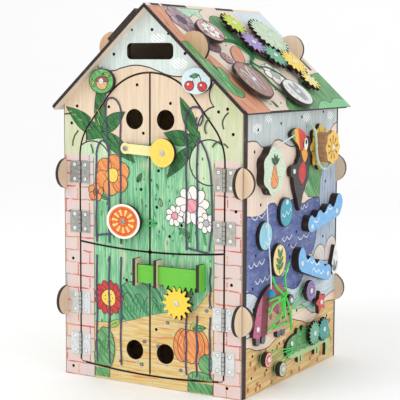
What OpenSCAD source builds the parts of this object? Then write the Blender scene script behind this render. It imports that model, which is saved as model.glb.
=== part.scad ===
// Wooden activity house: a gabled plywood box with four doors, latches,
// turning knobs, swinging discs, gears and cords.
// Units are millimetres. The underside of the house is at z = 0, the
// front faces -y and the right side faces +x.

/* [House] */
// Width of the house box over the side walls
house_w = 300; // [280:1:320]
// Depth of the house box from front face to back face
house_d = 310; // [300:1:330]
// Height of the roof ridge line
ridge_z = 546.2; // [530:0.1:560]
// Slope of the roof in degrees
slope = 42.4; // [40:0.1:45]
// Thickness of the side walls, roof, floor and back
ply = 5; // [4:0.5:6]
// Thickness of the printed front panel
front_t = 6; // [5:0.5:8]
// Thickness of the stop frame behind the front panel
stop_t = 6; // [5:0.5:8]
// Roof overhang past the front face
roof_front = 15.5; // [10:0.5:20]
// Roof overhang past the back face
roof_back = 16.2; // [10:0.1:20]
// Slope length of a roof panel from the ridge to the eave
roof_len = 220.2; // [215:0.1:225]
// Radius of the crossed corner ears
ear_r = 22; // [18:0.5:24]
// Height of the lower corner ears
ear_z1 = 111; // [95:1:125]
// Height of the upper corner ears
ear_z2 = 301; // [290:1:315]

/* [Doors] */
// Half width of the door opening at the gap middle
door_hw = 121.5; // [118:0.5:125]
// Gap between a door edge and the panel
door_gap = 1.5; // [1:0.1:2]
// Thickness of the doors
door_t = 5.5; // [4.5:0.1:5.7]
// Height of the split between lower and upper doors at the middle
split_z = 195; // [185:1:205]
// Height of the lower edge of the doors at the middle
sill_z = 15; // [12:1:20]
// Radius of the long sagging arcs of split and sill
sag_r = 1030; // [900:10:1200]
// Radius of the finger holes
finger_r = 14.5; // [12:0.5:16]
// Height of a hinge leaf
hinge_h = 32; // [26:1:36]
// Width of one hinge leaf
hinge_w = 17.5; // [14:0.5:18]

/* [Fasteners] */
// Radius of the pivot screw shank
screw_r = 2; // [1.5:0.05:2.5]
// Radial running clearance of a turning piece on its screw
run = 0.08; // [0.04:0.01:0.1]
// Radius of the pivot screw head
head_r = 3.8; // [3:0.1:5]

/* [Gears] */
// Module of the roof gears and of the bolt rack
mod_a = 3; // [2.5:0.1:3.5]
// Module of the two small wall gears
mod_b = 2; // [1.5:0.1:2.5]
// Backlash at the pitch circle
lash = 0.7; // [0.4:0.05:1]

/* [View] */
// Which sub-part to draw

/* [Hidden] */
$fn = 64;
hw = house_w/2;
hd = house_d/2;
tn = tan(slope);
cs = cos(slope);
sn = sin(slope);
gable_z = ridge_z - ply/cs;          // gable apex under the roof
wall_z = gable_z - hw*tn;            // wall top at the outer face
yi = -hd + front_t;                  // front panel back face
yj = yi + stop_t;                    // stop frame back face
yb = hd - ply;                       // back panel inner face
pilot = screw_r + 0.02;
bore = screw_r + run;
e2 = door_gap/2;
hole_r = 1.75;
oak = [0.92,0.80,0.64];
steel = [0.75,0.76,0.76];

// ---- plane helpers: children are drawn as x,y on the face, z outwards
module on_front() { translate([0,-hd,0]) rotate([90,0,0]) children(); }
module on_right() { translate([hw,0,0]) rotate([90,0,90]) children(); }
module on_roof() { translate([0,0,ridge_z]) rotate([0,slope,0]) children(); }
module slab(y0,t) { translate([0,y0+t,0]) rotate([90,0,0]) linear_extrude(t) children(); }
module side(x0,t) { translate([x0,0,0]) rotate([90,0,90]) linear_extrude(t) children(); }
module plate(w0,t) { translate([0,0,w0]) linear_extrude(t) children(); }

// ---- curves
function ell(cx,cy,a,b,n=56) = [for(i=[0:n-1]) [cx+a*cos(i*360/n), cy+b*sin(i*360/n)]];
function lobes(cx,cy,r,k,a,n=72) = [for(i=[0:n-1]) let(q=i*360/n, s=r+k*cos(a*q)) [cx+s*cos(q), cy+s*sin(q)]];
function cr1(a,b,c,d,t) = 0.5*((2*b)+(c-a)*t+(2*a-5*b+4*c-d)*t*t+(3*b-a-3*c+d)*t*t*t);
function crc(p,n=4) = let(m=len(p)) [for(i=[0:m-1]) for(k=[0:n-1]) cr1(p[(i+m-1)%m],p[i],p[(i+1)%m],p[(i+2)%m],k/n)];

// ---- gears
function inv(a) = tan(a)*180/PI - a;
function gpts(z,m,ph,ha=1,hd=1.2,pa=25,bl=lash) =
  let(rp=m*z/2, rb=rp*cos(pa), ra=rp+ha*m, rf=rp-hd*m, rs=max(rb,rf)+0.01,
      ht=90/z-(bl/2)/rp*180/PI)
  [for(i=[0:z-1]) let(c=ph+i*360/z) each concat(
    [let(a=c-(ht+inv(pa)-inv(acos(rb/rs)))-0.3) [rf*cos(a),rf*sin(a)]],
    [for(k=[0:3]) let(r=rs+(ra-rs)*k/3, a=c-(ht+inv(pa)-inv(acos(rb/r)))) [r*cos(a),r*sin(a)]],
    [for(k=[3:-1:0]) let(r=rs+(ra-rs)*k/3, a=c+(ht+inv(pa)-inv(acos(rb/r)))) [r*cos(a),r*sin(a)]],
    [let(a=c+(ht+inv(pa)-inv(acos(rb/rs)))+0.3) [rf*cos(a),rf*sin(a)]])];
function mate(pha,za,th,zb) = th+180-((pha-th)*za/360+0.5)*360/zb;
function dirn(a,b) = atan2(b[1]-a[1],b[0]-a[0]);

// ---- cords: a ring of points carried along a smoothed route
function unit(v) = v/norm(v);
function open_cr(p,n) = let(m=len(p)) concat([for(i=[0:m-2]) for(k=[0:n-1]) cr1(p[max(i-1,0)],p[i],p[i+1],p[min(i+2,m-1)],k/n)],[p[m-1]]);
function side_of(t) = abs(t[0])<0.8 ? unit(cross(t,[1,0,0])) : unit(cross(t,[0,1,0]));
function carry(q,t,i,n0) = let(v=n0-(n0*t[i])*t[i]) unit(v);
function frames(q,t,i,n0) = i>=len(q) ? [] : let(v=carry(q,t,i,n0)) concat([v],frames(q,t,i+1,v));
function tube_pts(q,r,s) = let(m=len(q), t=[for(i=[0:m-1]) unit(q[min(i+1,m-1)]-q[max(i-1,0)])], f=frames(q,t,0,side_of(t[0])))
  [for(i=[0:m-1]) for(k=[0:s-1]) let(b=cross(t[i],f[i])) q[i]+r*(cos(k*360/s)*f[i]+sin(k*360/s)*b)];
module cord(p,r,n=1,s=8) {
  q = n>1 ? open_cr(p,n) : p;
  m = len(q);
  polyhedron(points=tube_pts(q,r,s), faces=concat(
    [[for(k=[s-1:-1:0]) k]], [[for(k=[0:s-1]) (m-1)*s+k]],
    [for(i=[0:m-2]) for(k=[0:s-1]) [i*s+k, i*s+(k+1)%s, (i+1)*s+(k+1)%s, (i+1)*s+k]]), convexity=6);
}

// ---- screws: head underside at height w
module screw(x,y,w,deep) { translate([x,y,0]) difference() {
  union() { translate([0,0,-deep]) cylinder(r=screw_r,h=w+deep); translate([0,0,w]) cylinder(r=head_r,h=1); translate([0,0,w+1]) cylinder(r1=head_r,r2=head_r-1.2,h=0.9); }
  translate([-2,-0.4,w+1]) cube([4,0.8,2]); translate([-0.4,-2,w+1]) cube([0.8,4,2]); } }
module pin_hole(x,y) { translate([x,y,-20]) cylinder(r=pilot,h=40); }

// ---- outlines in the front plane (x,z)
module gable2d() { polygon([[-hw,0],[hw,0],[hw,wall_z],[0,gable_z],[-hw,wall_z]]); }
arch_a = 38.9;
function arch_pts(e,low) = concat([[door_hw-e,low]],
  [for(i=[0:12]) let(a=i*arch_a/12) [43.5+(78-e)*cos(a),326+(78-e)*sin(a)]],
  [for(i=[0:30]) let(a=arch_a+i*(180-2*arch_a)/30) [(92.4-e)*cos(a),357+(92.4-e)*sin(a)]],
  [for(i=[0:12]) let(a=180-arch_a+i*arch_a/12) [-43.5+(78-e)*cos(a),326+(78-e)*sin(a)]],
  [[-door_hw+e,low]]);
module arch2d(e,low) { polygon(arch_pts(e,low)); }
module sagline(z,d) { translate([0,z+sag_r+d]) circle(r=sag_r,$fn=720); }
module foot_cut(x,s) { translate([x,sill_z+7.2]) difference() { translate([s>0?-9:-1,-9]) square([10,15]); translate([-s*9,6]) circle(r=9); translate([s>0?-19:9,-20]) square([10,40]); } }
module opening2d(e) { difference() { intersection() { arch2d(e,0); sagline(sill_z,e); }
  for(s=[-1,1]) foot_cut(s*(door_hw-e),s); } }
module ears2d(cx,zs) { for(s=[-1,1]) for(z=zs) translate([s*cx,z]) circle(r=ear_r); }
module gable_ears2d() { for(s=[-1,1]) translate([s*91.5*cs,ridge_z-91.5*sn]) circle(r=22.6); }
function slot_pts(e) = [for(q=[[1,1,0],[-1,1,90],[-1,-1,180],[1,-1,270]]) for(i=[0:6]) let(a=q[2]+i*15) [q[0]*31.5+(7+e)*cos(a),479.2+q[1]*4.5+(7+e)*sin(a)]];
module carry2d(e) { polygon(slot_pts(e)); }
front_dots = [[3.5,509],[-61,475],[57.5,476],[-126,400],[-136,375],[125,401],[111,397],[134,367],[-135,175],[133,160],[-136,12],[127,14],[-139,245],[139,262],[-30,509],[30,503]];
// lap slots where front or back panel crosses the ears of the side walls
module lap_low(z) { for(s=[-1,1]) translate([s*(hw-ply/2)-ply/2-0.1,z-ear_r-0.1]) square([ply+0.2+(s>0?0:0),ear_r+0.1]); }

module front_wall() { color([0.86,0.85,0.78]) slab(-hd,front_t) difference() {
  union() { gable2d(); ears2d(hw-6,[ear_z1,ear_z2]); }
  opening2d(-e2); carry2d(0);
  lap_low(ear_z1); lap_low(ear_z2);
  for(p=front_dots) translate(p) circle(r=hole_r,$fn=20);
  for(p=[gd_l,gd_r]) translate(p) circle(r=pilot);
  for(h=hinge_zs) for(s=[-1,1]) for(k=[-1,1]) for(j=[9.5]) translate([s*(door_hw+j),h+k*10.5]) circle(r=1.25,$fn=20);
} }
module front_inner_frame() { color([0.35,0.25,0.2]) slab(yi,stop_t) difference() {
  union() { gable2d(); gable_ears2d(); }
  opening2d(7); carry2d(2);
  for(s=[-1,1]) for(z=[ear_z1,ear_z2]) translate([s*(hw-ply/2)-ply/2-0.1,z-ear_r-0.1]) square([ply+0.2,2*ear_r+0.2]);
  for(h=hinge_zs) for(s=[-1,1]) for(k=[-1,1]) for(j=[9.5]) translate([s*(door_hw+j),h+k*10.5]) circle(r=1.25,$fn=20);
} }
back_dots = [[0,505],[-60,470],[60,470],[-120,395],[120,395],[-130,330],[130,330],[-70,400],[70,400],[-35,340],[40,300],[-90,250],[95,240],[-20,210],[30,150],[-100,120],[110,90],[-60,60],[60,40],[-130,25],[130,20],[0,90]];
module back_wall() { color([0.84,0.86,0.82]) slab(yb,ply) difference() {
  union() { gable2d(); ears2d(hw-6,[ear_z1,ear_z2]); gable_ears2d(); }
  lap_low(ear_z1); lap_low(ear_z2); carry2d(0);
  for(p=back_dots) translate(p) circle(r=hole_r,$fn=20);
} }

// ---- side walls in (y,z)
wall_dots = [[-113,372],[-43,378],[25,385],[-123,342],[-103,267],[111,283],[11,216],[-13,199],[-117,197],[105,198],[106,172],[-125,152],[-122,122],[-10,181],[16,97],[124,70],[-124,56],[-81,27],[-126,25],[-41,58],[-63,51],[100,390],[60,285]];
module sidewall2d() { difference() {
  union() { translate([yj,0]) square([yb-yj,wall_z]);
    for(z=[ear_z1,ear_z2]) { translate([-hd,z-ear_r]) square([yj+hd+0.01,2*ear_r]); translate([yb-0.01,z-ear_r]) square([ply+0.01,2*ear_r]);
      translate([-hd,z]) circle(r=ear_r); translate([hd,z]) circle(r=ear_r); } }
  for(z=[ear_z1,ear_z2]) { translate([-hd-0.1,z]) square([front_t+0.2,ear_r+1]); translate([yb-0.1,z]) square([ply+0.2,ear_r+1]); }
  for(z=[ear_z1,ear_z2]) { translate([-hd+front_t+0.05,z+ear_r]) square([5.9,1]); }
} }
// pivots on the right wall: y, z, height of the screw head underside
wall_pivots = [[-14,307.6,7.2],[77.5,338,27.3],[-98,237,6.2],[-34,264.5,6.2],[-54,200,6.2],[138.5,168,7.2],[38,124.5,13.2],[74,101.2,13.2],[53,56.7,13.2],[87,56.7,13.2],[-101,48,14.2],[-56,24.5,14.2]];
wall_fix = [[-66,328,12],[-102,301,12],[40,221,12],[128,236,12],[8,170,12],[98,142,12],[-120,94,6],[-54,126,6],[-25,120.4,11],[-10,52,5],[112,44,5]];
module right_wall() { color([0.55,0.62,0.75]) difference() {
  side(hw-ply,ply) sidewall2d();
  on_right() { for(p=wall_dots) translate([p[0],p[1],-20]) cylinder(r=hole_r,h=40,$fn=20);
    for(p=concat(wall_pivots,wall_fix)) pin_hole(p[0],p[1]);
    for(p=rope_holes) translate([p[0],p[1],-20]) cylinder(r=2.6,h=40,$fn=24);
    for(p=lace_holes) translate([p[0],p[1],-20]) cylinder(r=1.9,h=40,$fn=24); }
} }
module left_wall() { color([0.75,0.80,0.78]) mirror([1,0,0]) difference() {
  side(hw-ply,ply) sidewall2d();
  on_right() for(p=wall_dots) translate([p[0],p[1],-20]) cylinder(r=hole_r,h=40,$fn=20); } }
module floor_panel() { color(oak) translate([-hw+ply,yj,0]) cube([house_w-2*ply,yb-yj,ply]); }

// ---- roof, local x down the slope, y along the ridge, z out of the roof
ry0 = -hd-roof_front;
ry1 = hd+roof_back;
// finger edges along the ridge, every other finger belongs to the other panel
tabs = [ry0,-157,-134,-128,-61,25,80,ry1];
roof_dots = [[86,-50],[110,-128],[120,-57],[139,-28],[179,-27],[140,68],[205,-113],[207,-82],[206,-49],[150,-130],[60,140],[200,120],[30,-140],[25,120],[190,150],[40,-60]];
module roof_panel(odd) { difference() {
  union() { translate([5.15,ry0,-ply]) cube([roof_len-5.15,ry1-ry0,ply]);
    for(i=[0:6]) if(i%2==odd) translate([0,tabs[i]+0.05,-ply]) cube([6,tabs[i+1]-tabs[i]-0.1,ply]); }
  translate([68.6,yi-0.1,-ply-1]) cube([71,stop_t+0.2,ply+2]);
  translate([68.6,yb-0.1,-ply-1]) cube([71,ply+0.2,ply+2]);
  for(s=[0,1]) translate([roof_len-7,s?ry1-7:ry0+7,-ply-1]) difference() { translate([0,s?0:-8,0]) cube([8,8,ply+2]); translate([0,0,-1]) cylinder(r=7,h=ply+4); }
  for(p=roof_dots) translate([p[0],p[1],-20]) cylinder(r=hole_r,h=40,$fn=20);
  children();
} }
// roof gears: centre down the slope, along the ridge, number of teeth
g_teal = [118.8,43.4]; z_teal = 14;
g_purple = [90.4,12.4]; z_purple = 14;
g_lime = [48.6,8.1]; z_lime = 14;
g_yellow = [133.2,86]; z_yellow = 16;
g_small = [173.6,82.7]; z_small = 11;
g_big = [73.2,88]; z_big = 24;
ph_teal = 0;
ph_purple = mate(ph_teal,z_teal,dirn(g_teal,g_purple),z_purple);
ph_lime = mate(ph_purple,z_purple,dirn(g_purple,g_lime),z_lime);
ph_yellow = mate(ph_teal,z_teal,dirn(g_teal,g_yellow),z_yellow);
ph_small = mate(ph_yellow,z_yellow,dirn(g_yellow,g_small),z_small);
ph_big = mate(ph_yellow,z_yellow,dirn(g_yellow,g_big),z_big);
roof_pivots = [[g_teal[0],g_teal[1],12.2],[g_purple[0],g_purple[1],12.2],[g_lime[0],g_lime[1],12.2],[g_yellow[0],g_yellow[1],12.2],[g_small[0],g_small[1],12.2],[g_big[0],g_big[1],12.2],[70,-91,14.2],[168,-92,11.2],[196,6,11.2]];
module roof_right() { color([0.90,0.80,0.70]) on_roof() roof_panel(0) for(p=roof_pivots) pin_hole(p[0],p[1]); }
module roof_left() { color([0.90,0.80,0.70]) mirror([1,0,0]) on_roof() roof_panel(1); }
module roof_left_board() { color([0.80,0.85,0.82]) mirror([1,0,0]) on_roof() plate(0,6) difference() {
  translate([18,-168]) square([62,110]);
  translate([68,-149.7]) square([20,7.4]);
  for(p=[[28,-158],[70,-158],[28,-68],[70,-68]]) translate(p) circle(r=hole_r,$fn=20); } }

// ---- doors
module door2d(up,s) { difference() {
  intersection() {
    union() { if(up) intersection() { arch2d(e2,150); sagline(split_z,e2); }
      else difference() { opening2d(e2); sagline(split_z,-e2); } }
    translate([s>0?e2:-200,0]) square([200-e2,500]);
  }
  translate([0,split_z]) circle(r=3.2,$fn=32);
  translate([s*26,up?383.6:50]) circle(r=finger_r);
  children();
} }
module door_slab() { on_front() plate(-door_t,door_t) children(); }
module dots(l) { for(p=l) translate(p) circle(r=hole_r,$fn=20); }
module hinge_holes(zs,s) { for(h=zs) for(k=[-1,1]) for(j=[9.5]) translate([s*(door_hw-j),h+k*10.5]) circle(r=1.25,$fn=20); }
hinge_up = [304,231];
hinge_low = [110,48.3];
hinge_zs = concat(hinge_up,hinge_low);
latch_p = [-38,342];
latch_d = [27.4,338.2];
button_p = [-38,237.7];
pin_p = [52.6,128];
gd_l = [-79,436.6];
gd_r = [78.2,438.4];
module door_upper_left() { color([0.62,0.80,0.66]) door_slab() door2d(true,-1) { dots([[-21.5,432],[-11,364],[-15,284],[-70,400],[-90,270]]); hinge_holes(hinge_up,-1); for(p=[latch_p,button_p]) translate(p) circle(r=pilot); } }
module door_upper_right() { color([0.62,0.80,0.66]) door_slab() door2d(true,1) { dots([[34,407],[11.5,260],[52.5,237],[33,220],[14.5,312]]); hinge_holes(hinge_up,1); translate([10,237]) circle(r=2.6,$fn=24); } }
module door_lower_left() { color([0.62,0.80,0.66]) door_slab() door2d(false,-1) { dots([[-70,180],[-40,151],[-15,109],[-90,60]]); hinge_holes(hinge_low,-1); } }
module door_lower_right() { color([0.62,0.80,0.66]) door_slab() door2d(false,1) { dots([[10.7,84],[95,70],[90,150]]); hinge_holes(hinge_low,1); translate(pin_p) circle(r=pilot); } }

// ---- butt hinges: five knuckles, the frame leaf carries 1, 3, 5 and the pin
kn = hinge_h/5;
kw = 2.3;                 // hinge axis in front of the face
kr = 2;                   // knuckle radius
module knuckle(i,r) { translate([0,-hinge_h/2+i*kn+0.2,kw]) rotate([-90,0,0]) cylinder(r=r,h=kn-0.4,$fn=40); }
module leaf(s,fixed) { difference() {
  union() { translate([s>0?2.4:-hinge_w,-hinge_h/2,0]) cube([hinge_w-2.4,hinge_h,1.2]);
    for(i=[0:4]) if((i%2==0)==fixed) { knuckle(i,kr); translate([s>0?0:-2.6,-hinge_h/2+i*kn+0.2,0.32]) cube([2.6,kn-0.4,1.1]); } }
  for(i=[0:4]) if((i%2==0)==fixed) translate([0,-hinge_h/2+i*kn-1,kw]) rotate([-90,0,0]) cylinder(r=fixed?1:1.06,h=kn+2,$fn=40);
  for(k=[-1,1]) for(j=[9.5]) translate([s*j,k*10.5,-1]) cylinder(r=1.25,h=4,$fn=20);
} }
module leaf_screws(s,deep) { for(k=[-1,1]) for(j=[9.5]) translate([s*j,k*10.5,0]) { translate([0,0,-deep]) cylinder(r=1.23,h=deep+1.2,$fn=20); translate([0,0,1.2]) cylinder(r1=2.9,r2=2.1,h=0.7,$fn=24); } }
module hinge_frame_leaves() { color(steel) on_front() for(h=hinge_zs) for(s=[-1,1]) translate([s*door_hw,h,0]) {
  leaf(s,true); translate([0,-hinge_h/2,kw]) rotate([-90,0,0]) cylinder(r=1,h=hinge_h,$fn=40); } }
module door_leaves(zs,s) { color(steel) on_front() for(h=zs) translate([s*door_hw,h,0]) { leaf(-s,false); leaf_screws(-s,5); } }
module hinges_upper_left() { door_leaves(hinge_up,-1); color(steel) on_front() { screw(latch_p[0],latch_p[1],6.2,5); screw(button_p[0],button_p[1],12.2,5); } }
module hinges_upper_right() { door_leaves(hinge_up,1); }
module hinges_lower_left() { door_leaves(hinge_low,-1); }
module hinges_lower_right() { door_leaves(hinge_low,1); color(steel) on_front() screw(pin_p[0],pin_p[1],13.6,5); }
module root_screws() { color(steel) {
  on_front() for(h=hinge_zs) for(s=[-1,1]) translate([s*door_hw,h,0]) leaf_screws(s,8);
  on_front() for(p=[gd_l,gd_r]) screw(p[0],p[1],6,5);
  on_right() for(p=concat(wall_pivots,wall_fix)) screw(p[0],p[1],p[2],5);
  on_roof() for(p=roof_pivots) screw(p[0],p[1],p[2],5);
} }

// ---- front pieces
module latch_arm() { on_front() {
  d = latch_d-latch_p; a = atan2(d[1],d[0]);
  color([0.98,0.88,0.56]) translate([latch_p[0],latch_p[1],0.8]) rotate(a) difference() {
    union() { cylinder(r=8,h=5); translate([0,-7.2,0]) cube([norm(d),14.4,5]); translate([norm(d),0,0]) cylinder(r=9,h=5); }
    translate([0,0,-1]) cylinder(r=bore,h=8); translate([norm(d),0,-1]) cylinder(r=pilot,h=8); }
  color([0.98,0.84,0.40]) translate([latch_d[0],latch_d[1],5.8]) difference() { cylinder(r=20,h=6,$fn=96); translate([0,0,-1]) cylinder(r=pilot,h=9); }
  color(steel) translate([latch_d[0],latch_d[1],0]) { translate([0,0,1]) cylinder(r=screw_r,h=10.8); translate([0,0,11.8]) cylinder(r=head_r,h=1); translate([0,0,12.8]) cylinder(r1=head_r,r2=head_r-1.2,h=0.9); }
} }
module button_disc() { color([0.92,0.47,0.2]) on_front() translate([button_p[0],button_p[1],0]) difference() {
  union() { plate(6,6) polygon(ell(0,0,28.5,25)); translate([0,0,0.4]) cylinder(r=7,h=5.7); }
  translate([0,0,-1]) cylinder(r=bore,h=20); } }
rack_p = PI*mod_a;
rack_l = pin_p[1]+mod_a*7;           // pitch line of the rack
module rack2d() { difference() {
  polygon([[-13.2,178],[-13.2,rack_l+1.2*mod_a],[31.5,rack_l+1.2*mod_a],[31.5,rack_l-mod_a],[81.5,rack_l-mod_a],[81.5,rack_l+1.2*mod_a],[86.5,rack_l+1.2*mod_a],[86.5,178]]);
  for(i=[-3:3]) translate([pin_p[0]+(i+0.5)*rack_p,rack_l]) let(h=rack_p/4+lash/4, u=mod_a*tan(25))
    polygon([[-h-u-0.5*tan(25),-mod_a-0.5],[h+u+0.5*tan(25),-mod_a-0.5],[h-1.2*u,1.2*mod_a],[-h+1.2*u,1.2*mod_a]]);
} }
module bolt_bar() { color([0.43,0.76,0.27]) on_front() { plate(7,5) rack2d(); translate([86.5,148,1]) cube([5,38,16.5]); } }
module keeper(x) { color(oak) on_front() translate([x,147.5,0]) difference() { cube([5,39,17]); translate([-1,4.5,6.4]) cube([7,rack_h,6.2]); } }
rack_h = 26.9;
module bolt_keeper_left() { keeper(-19); }
module bolt_keeper_right() { keeper(16.5); }
module pinion_gear() { color([0.98,0.82,0.28]) on_front() translate([pin_p[0],pin_p[1],0]) difference() {
  union() { plate(7,6) polygon(gpts(14,mod_a,90+180/14)); translate([0,0,0.4]) cylinder(r=8,h=6.7); }
  translate([0,0,-1]) cylinder(r=bore,h=20); } }
module gable_disc(c,a,b) { on_front() translate([c[0],c[1],0]) difference() { plate(0,6) polygon(ell(0,0,a,b)); translate([0,0,-1]) cylinder(r=pilot,h=9); } }
module gable_disc_left() { color([0.60,0.78,0.55]) gable_disc(gd_l,21.5,18); }
module gable_disc_right() { color([0.74,0.85,0.88]) gable_disc(gd_r,23,18); }

// ---- right wall pieces, x = depth, y = height, z = off the wall
module turn_bore(x,y) { translate([x,y,-1]) cylinder(r=bore,h=40); }
bird = [[-23,361.5],[-16,367.3],[-2,369.6],[14,365.4],[26,358.4],[35.2,356],[41.2,349.4],[40.2,335],[40.4,320],[38.3,307],[34.3,293.5],[26.6,282],[18,272],[13.7,261],[11.5,253.5],[7.4,248],[3.6,253.7],[-2.7,268],[-9.9,281],[-13.5,291],[-16,298.6],[-22,301],[-25,307.4],[-22,314],[-13,316.6],[-4.6,317.6],[1,323.6],[6,331],[2.4,341.5],[-5,348],[-17,354.5]];
module bird_lever() { color([0.3,0.29,0.27]) on_right() difference() { union() { plate(1,6) polygon(crc(bird)); translate([-14,307.6,0.4]) cylinder(r=6.4,h=2); } turn_bore(-14,307.6); translate([-15,361,-1]) cylinder(r=1.6,h=12,$fn=24); } }
module guide_tile() { color([0.72,0.83,0.74]) on_right() difference() { plate(0,12) polygon(lobes(-85,314,33,2,7));
  for(p=[[-66,328],[-102,301]]) translate([p[0],p[1],-1]) cylinder(r=pilot,h=20);
  translate([-79,346,8.1]) rotate([90,0,0]) rotate([0,-18.43,0]) translate([0,0,-20]) cylinder(r=2,h=110,$fn=32); } }
bead_p = [-98,142,15];
module pull_bead() { color([0.05,0.5,0.66]) on_right() translate(bead_p) difference() { sphere(r=6); translate([-10,-14,-10]) cube([20,10,20]); rotate([90,0,0]) translate([0,0,-10]) cylinder(r=1.2,h=20,$fn=24); } }
module rope_drum() { on_right() translate([77.5,338,0]) {
  color([0.86,0.72,0.24]) difference() { plate(0.8,5.2) polygon(lobes(0,0,32,3,8,96)); translate([0,0,-1]) cylinder(r=bore,h=40); }
  color([0.55,0.39,0.27]) difference() { translate([0,0,6]) cylinder(r=22.5,h=15,$fn=96); translate([0,0,-1]) cylinder(r=bore,h=40); }
  color([0.93,0.78,0.3]) difference() { plate(21,6) polygon(lobes(0,0,24,1.6,8,96)); translate([0,0,-1]) cylinder(r=bore,h=40); } } }
module swing(px,pz,a,b) { on_right() difference() { union() { plate(1,5) polygon(ell(px,pz-b+7,a,b)); translate([px,pz,0.4]) cylinder(r=5,h=1); } turn_bore(px,pz); } }
module oval_blue_left() { color([0.59,0.8,0.86]) swing(-98,237,20.5,21); }
module oval_blue_right() { color([0.35,0.69,0.75]) swing(-34,264.5,20.5,21.5); }
module oval_yellow() { color([0.92,0.84,0.55]) swing(-54,200,21,24); }
drop_o = [[136.6,181.4],[132.8,174],[129.8,166.5],[126.8,158],[124.8,149.5],[126.6,140],[133,134.6],[142,137.4],[148,143.4],[150.4,153],[148,164.5],[142,174.6]];
module oval_white() { color([0.92,0.92,0.9]) on_right() difference() { union() { plate(1,6) polygon(crc(drop_o)); translate([138.5,168,0.4]) cylinder(r=5,h=1); } turn_bore(138.5,168); } }
wave_u = [[27,224],[31,234],[39,238],[47,234],[55,234],[62,241],[70,243],[78,238],[86,238],[95,246],[104,249],[112,244],[119,244],[126,252],[132,260],[141,262],[149,255],[151,246],[145,235],[137,228],[112,223.7],[86,219.7],[60,215.7],[42,213],[32,215]];
wave_l = [[-4,180],[1,190],[9,194],[17,188],[23,176],[30,173],[38,177],[46,175],[54,166],[61,163],[69,167],[77,166],[84,158],[90,154],[98,156],[106,154],[111,147],[110,138],[102,131],[79,136.5],[54,143.5],[29,151],[7,158],[-2,166]];
module wave_rails() { color([0.5,0.7,0.88]) on_right() { difference() { plate(0,12) polygon(crc(wave_u)); for(p=[[40,221],[128,236]]) translate([p[0],p[1],-1]) cylinder(r=pilot,h=20); }
  difference() { plate(0,12) polygon(crc(wave_l)); for(p=[[8,170],[98,142]]) translate([p[0],p[1],-1]) cylinder(r=pilot,h=20); } } }
lace_a = [[-89,112],[-90,89],[-72,88],[-42,97],[-30,88.5],[-29,113],[-24,99]];
module lacing_board() { color([0.62,0.26,0.40]) on_right() difference() { plate(0,6) union() {
    polygon(crc([[-132,84],[-131,96],[-127,110],[-119,127],[-104,141],[-84,150],[-62,150],[-40,141],[-24,128],[-14,112],[-11,98],[-14,86],[-40,82],[-72,81],[-104,82]]));
    for(x=[-119,-102,-54,-40]) translate([x-6,76]) { square([12,12]); translate([6,0]) circle(r=6); } }
  for(p=[[-120,94],[-54,126],[-25,120.4]]) translate([p[0],p[1],-1]) cylinder(r=pilot,h=20);
  for(p=lace_a) translate([p[0],p[1],-1]) cylinder(r=2.2,h=20,$fn=24); } }
module knob(px,pz) { on_right() difference() { union() { translate([px,pz,0.4]) cylinder(r=5,h=7); children(); } turn_bore(px,pz); } }
module shell_knob() { color([0.55,0.45,0.63]) knob(38,124.5) plate(7,6) polygon(lobes(38,124.5,15.2,0.6,14,84)); }
module star_knob() { color([0.82,0.32,0.3]) knob(74,101.2) plate(7,6) polygon([for(i=[0:9]) let(q=104+i*36,s=i%2==0?18.4:10) [74+s*cos(q),101.2+s*sin(q)]]); }
log_o = [[-27,40],[-25,54],[-12,61.4],[10,64.6],[40,66.6],[70,66.6],[98,63.4],[118,56],[127,42],[125,24],[117,11],[110,11],[111,22],[108,31],[92,30],[60,28],[20,28],[-12,30]];
module log_plate() { color([0.35,0.58,0.36]) on_right() difference() { plate(0,5) union() { polygon(crc(log_o));
    translate([13,65.4]) circle(r=5.6); translate([30.6,65.6]) circle(r=6.4); for(x=[12,22,70,80]) translate([x,22]) { square([7,10]); translate([3.5,0]) circle(r=3.5); } }
  for(p=[[-10,52],[112,44],[53,56.7],[87,56.7]]) translate([p[0],p[1],-1]) cylinder(r=pilot,h=20);
  for(p=[lace_holes[2],lace_holes[3]]) translate([p[0],p[1],-1]) cylinder(r=1.9,h=20,$fn=24); } }
module log_gear(x,ph) { on_right() translate([x,56.7,0]) difference() { union() { plate(8,5) polygon(gpts(17,mod_b,ph,0.85,1.05)); translate([0,0,5.4]) cylinder(r=6,h=2.7); } translate([0,0,-1]) cylinder(r=bore,h=40); } }
module log_gear_front() { color([0.47,0.72,0.6]) log_gear(53,0); }
module log_gear_rear() { color([0.26,0.62,0.58]) log_gear(87,mate(0,17,0,17)); }
module round_knob_a() { color([0.86,0.42,0.3]) knob(-101,48) translate([-101,48,7]) cylinder(r=11,h=7); }
module round_knob_b() { color([0.55,0.58,0.5]) knob(-56,24.5) translate([-56,24.5,7]) cylinder(r=11,h=7); }
module lace_disc() { color([0.52,0.46,0.56]) on_right() difference() { plate(6,5) polygon(lobes(-25,120.4,8.2,0.3,5,60)); translate([-25,120.4,-1]) cylinder(r=pilot,h=20); } }

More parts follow.
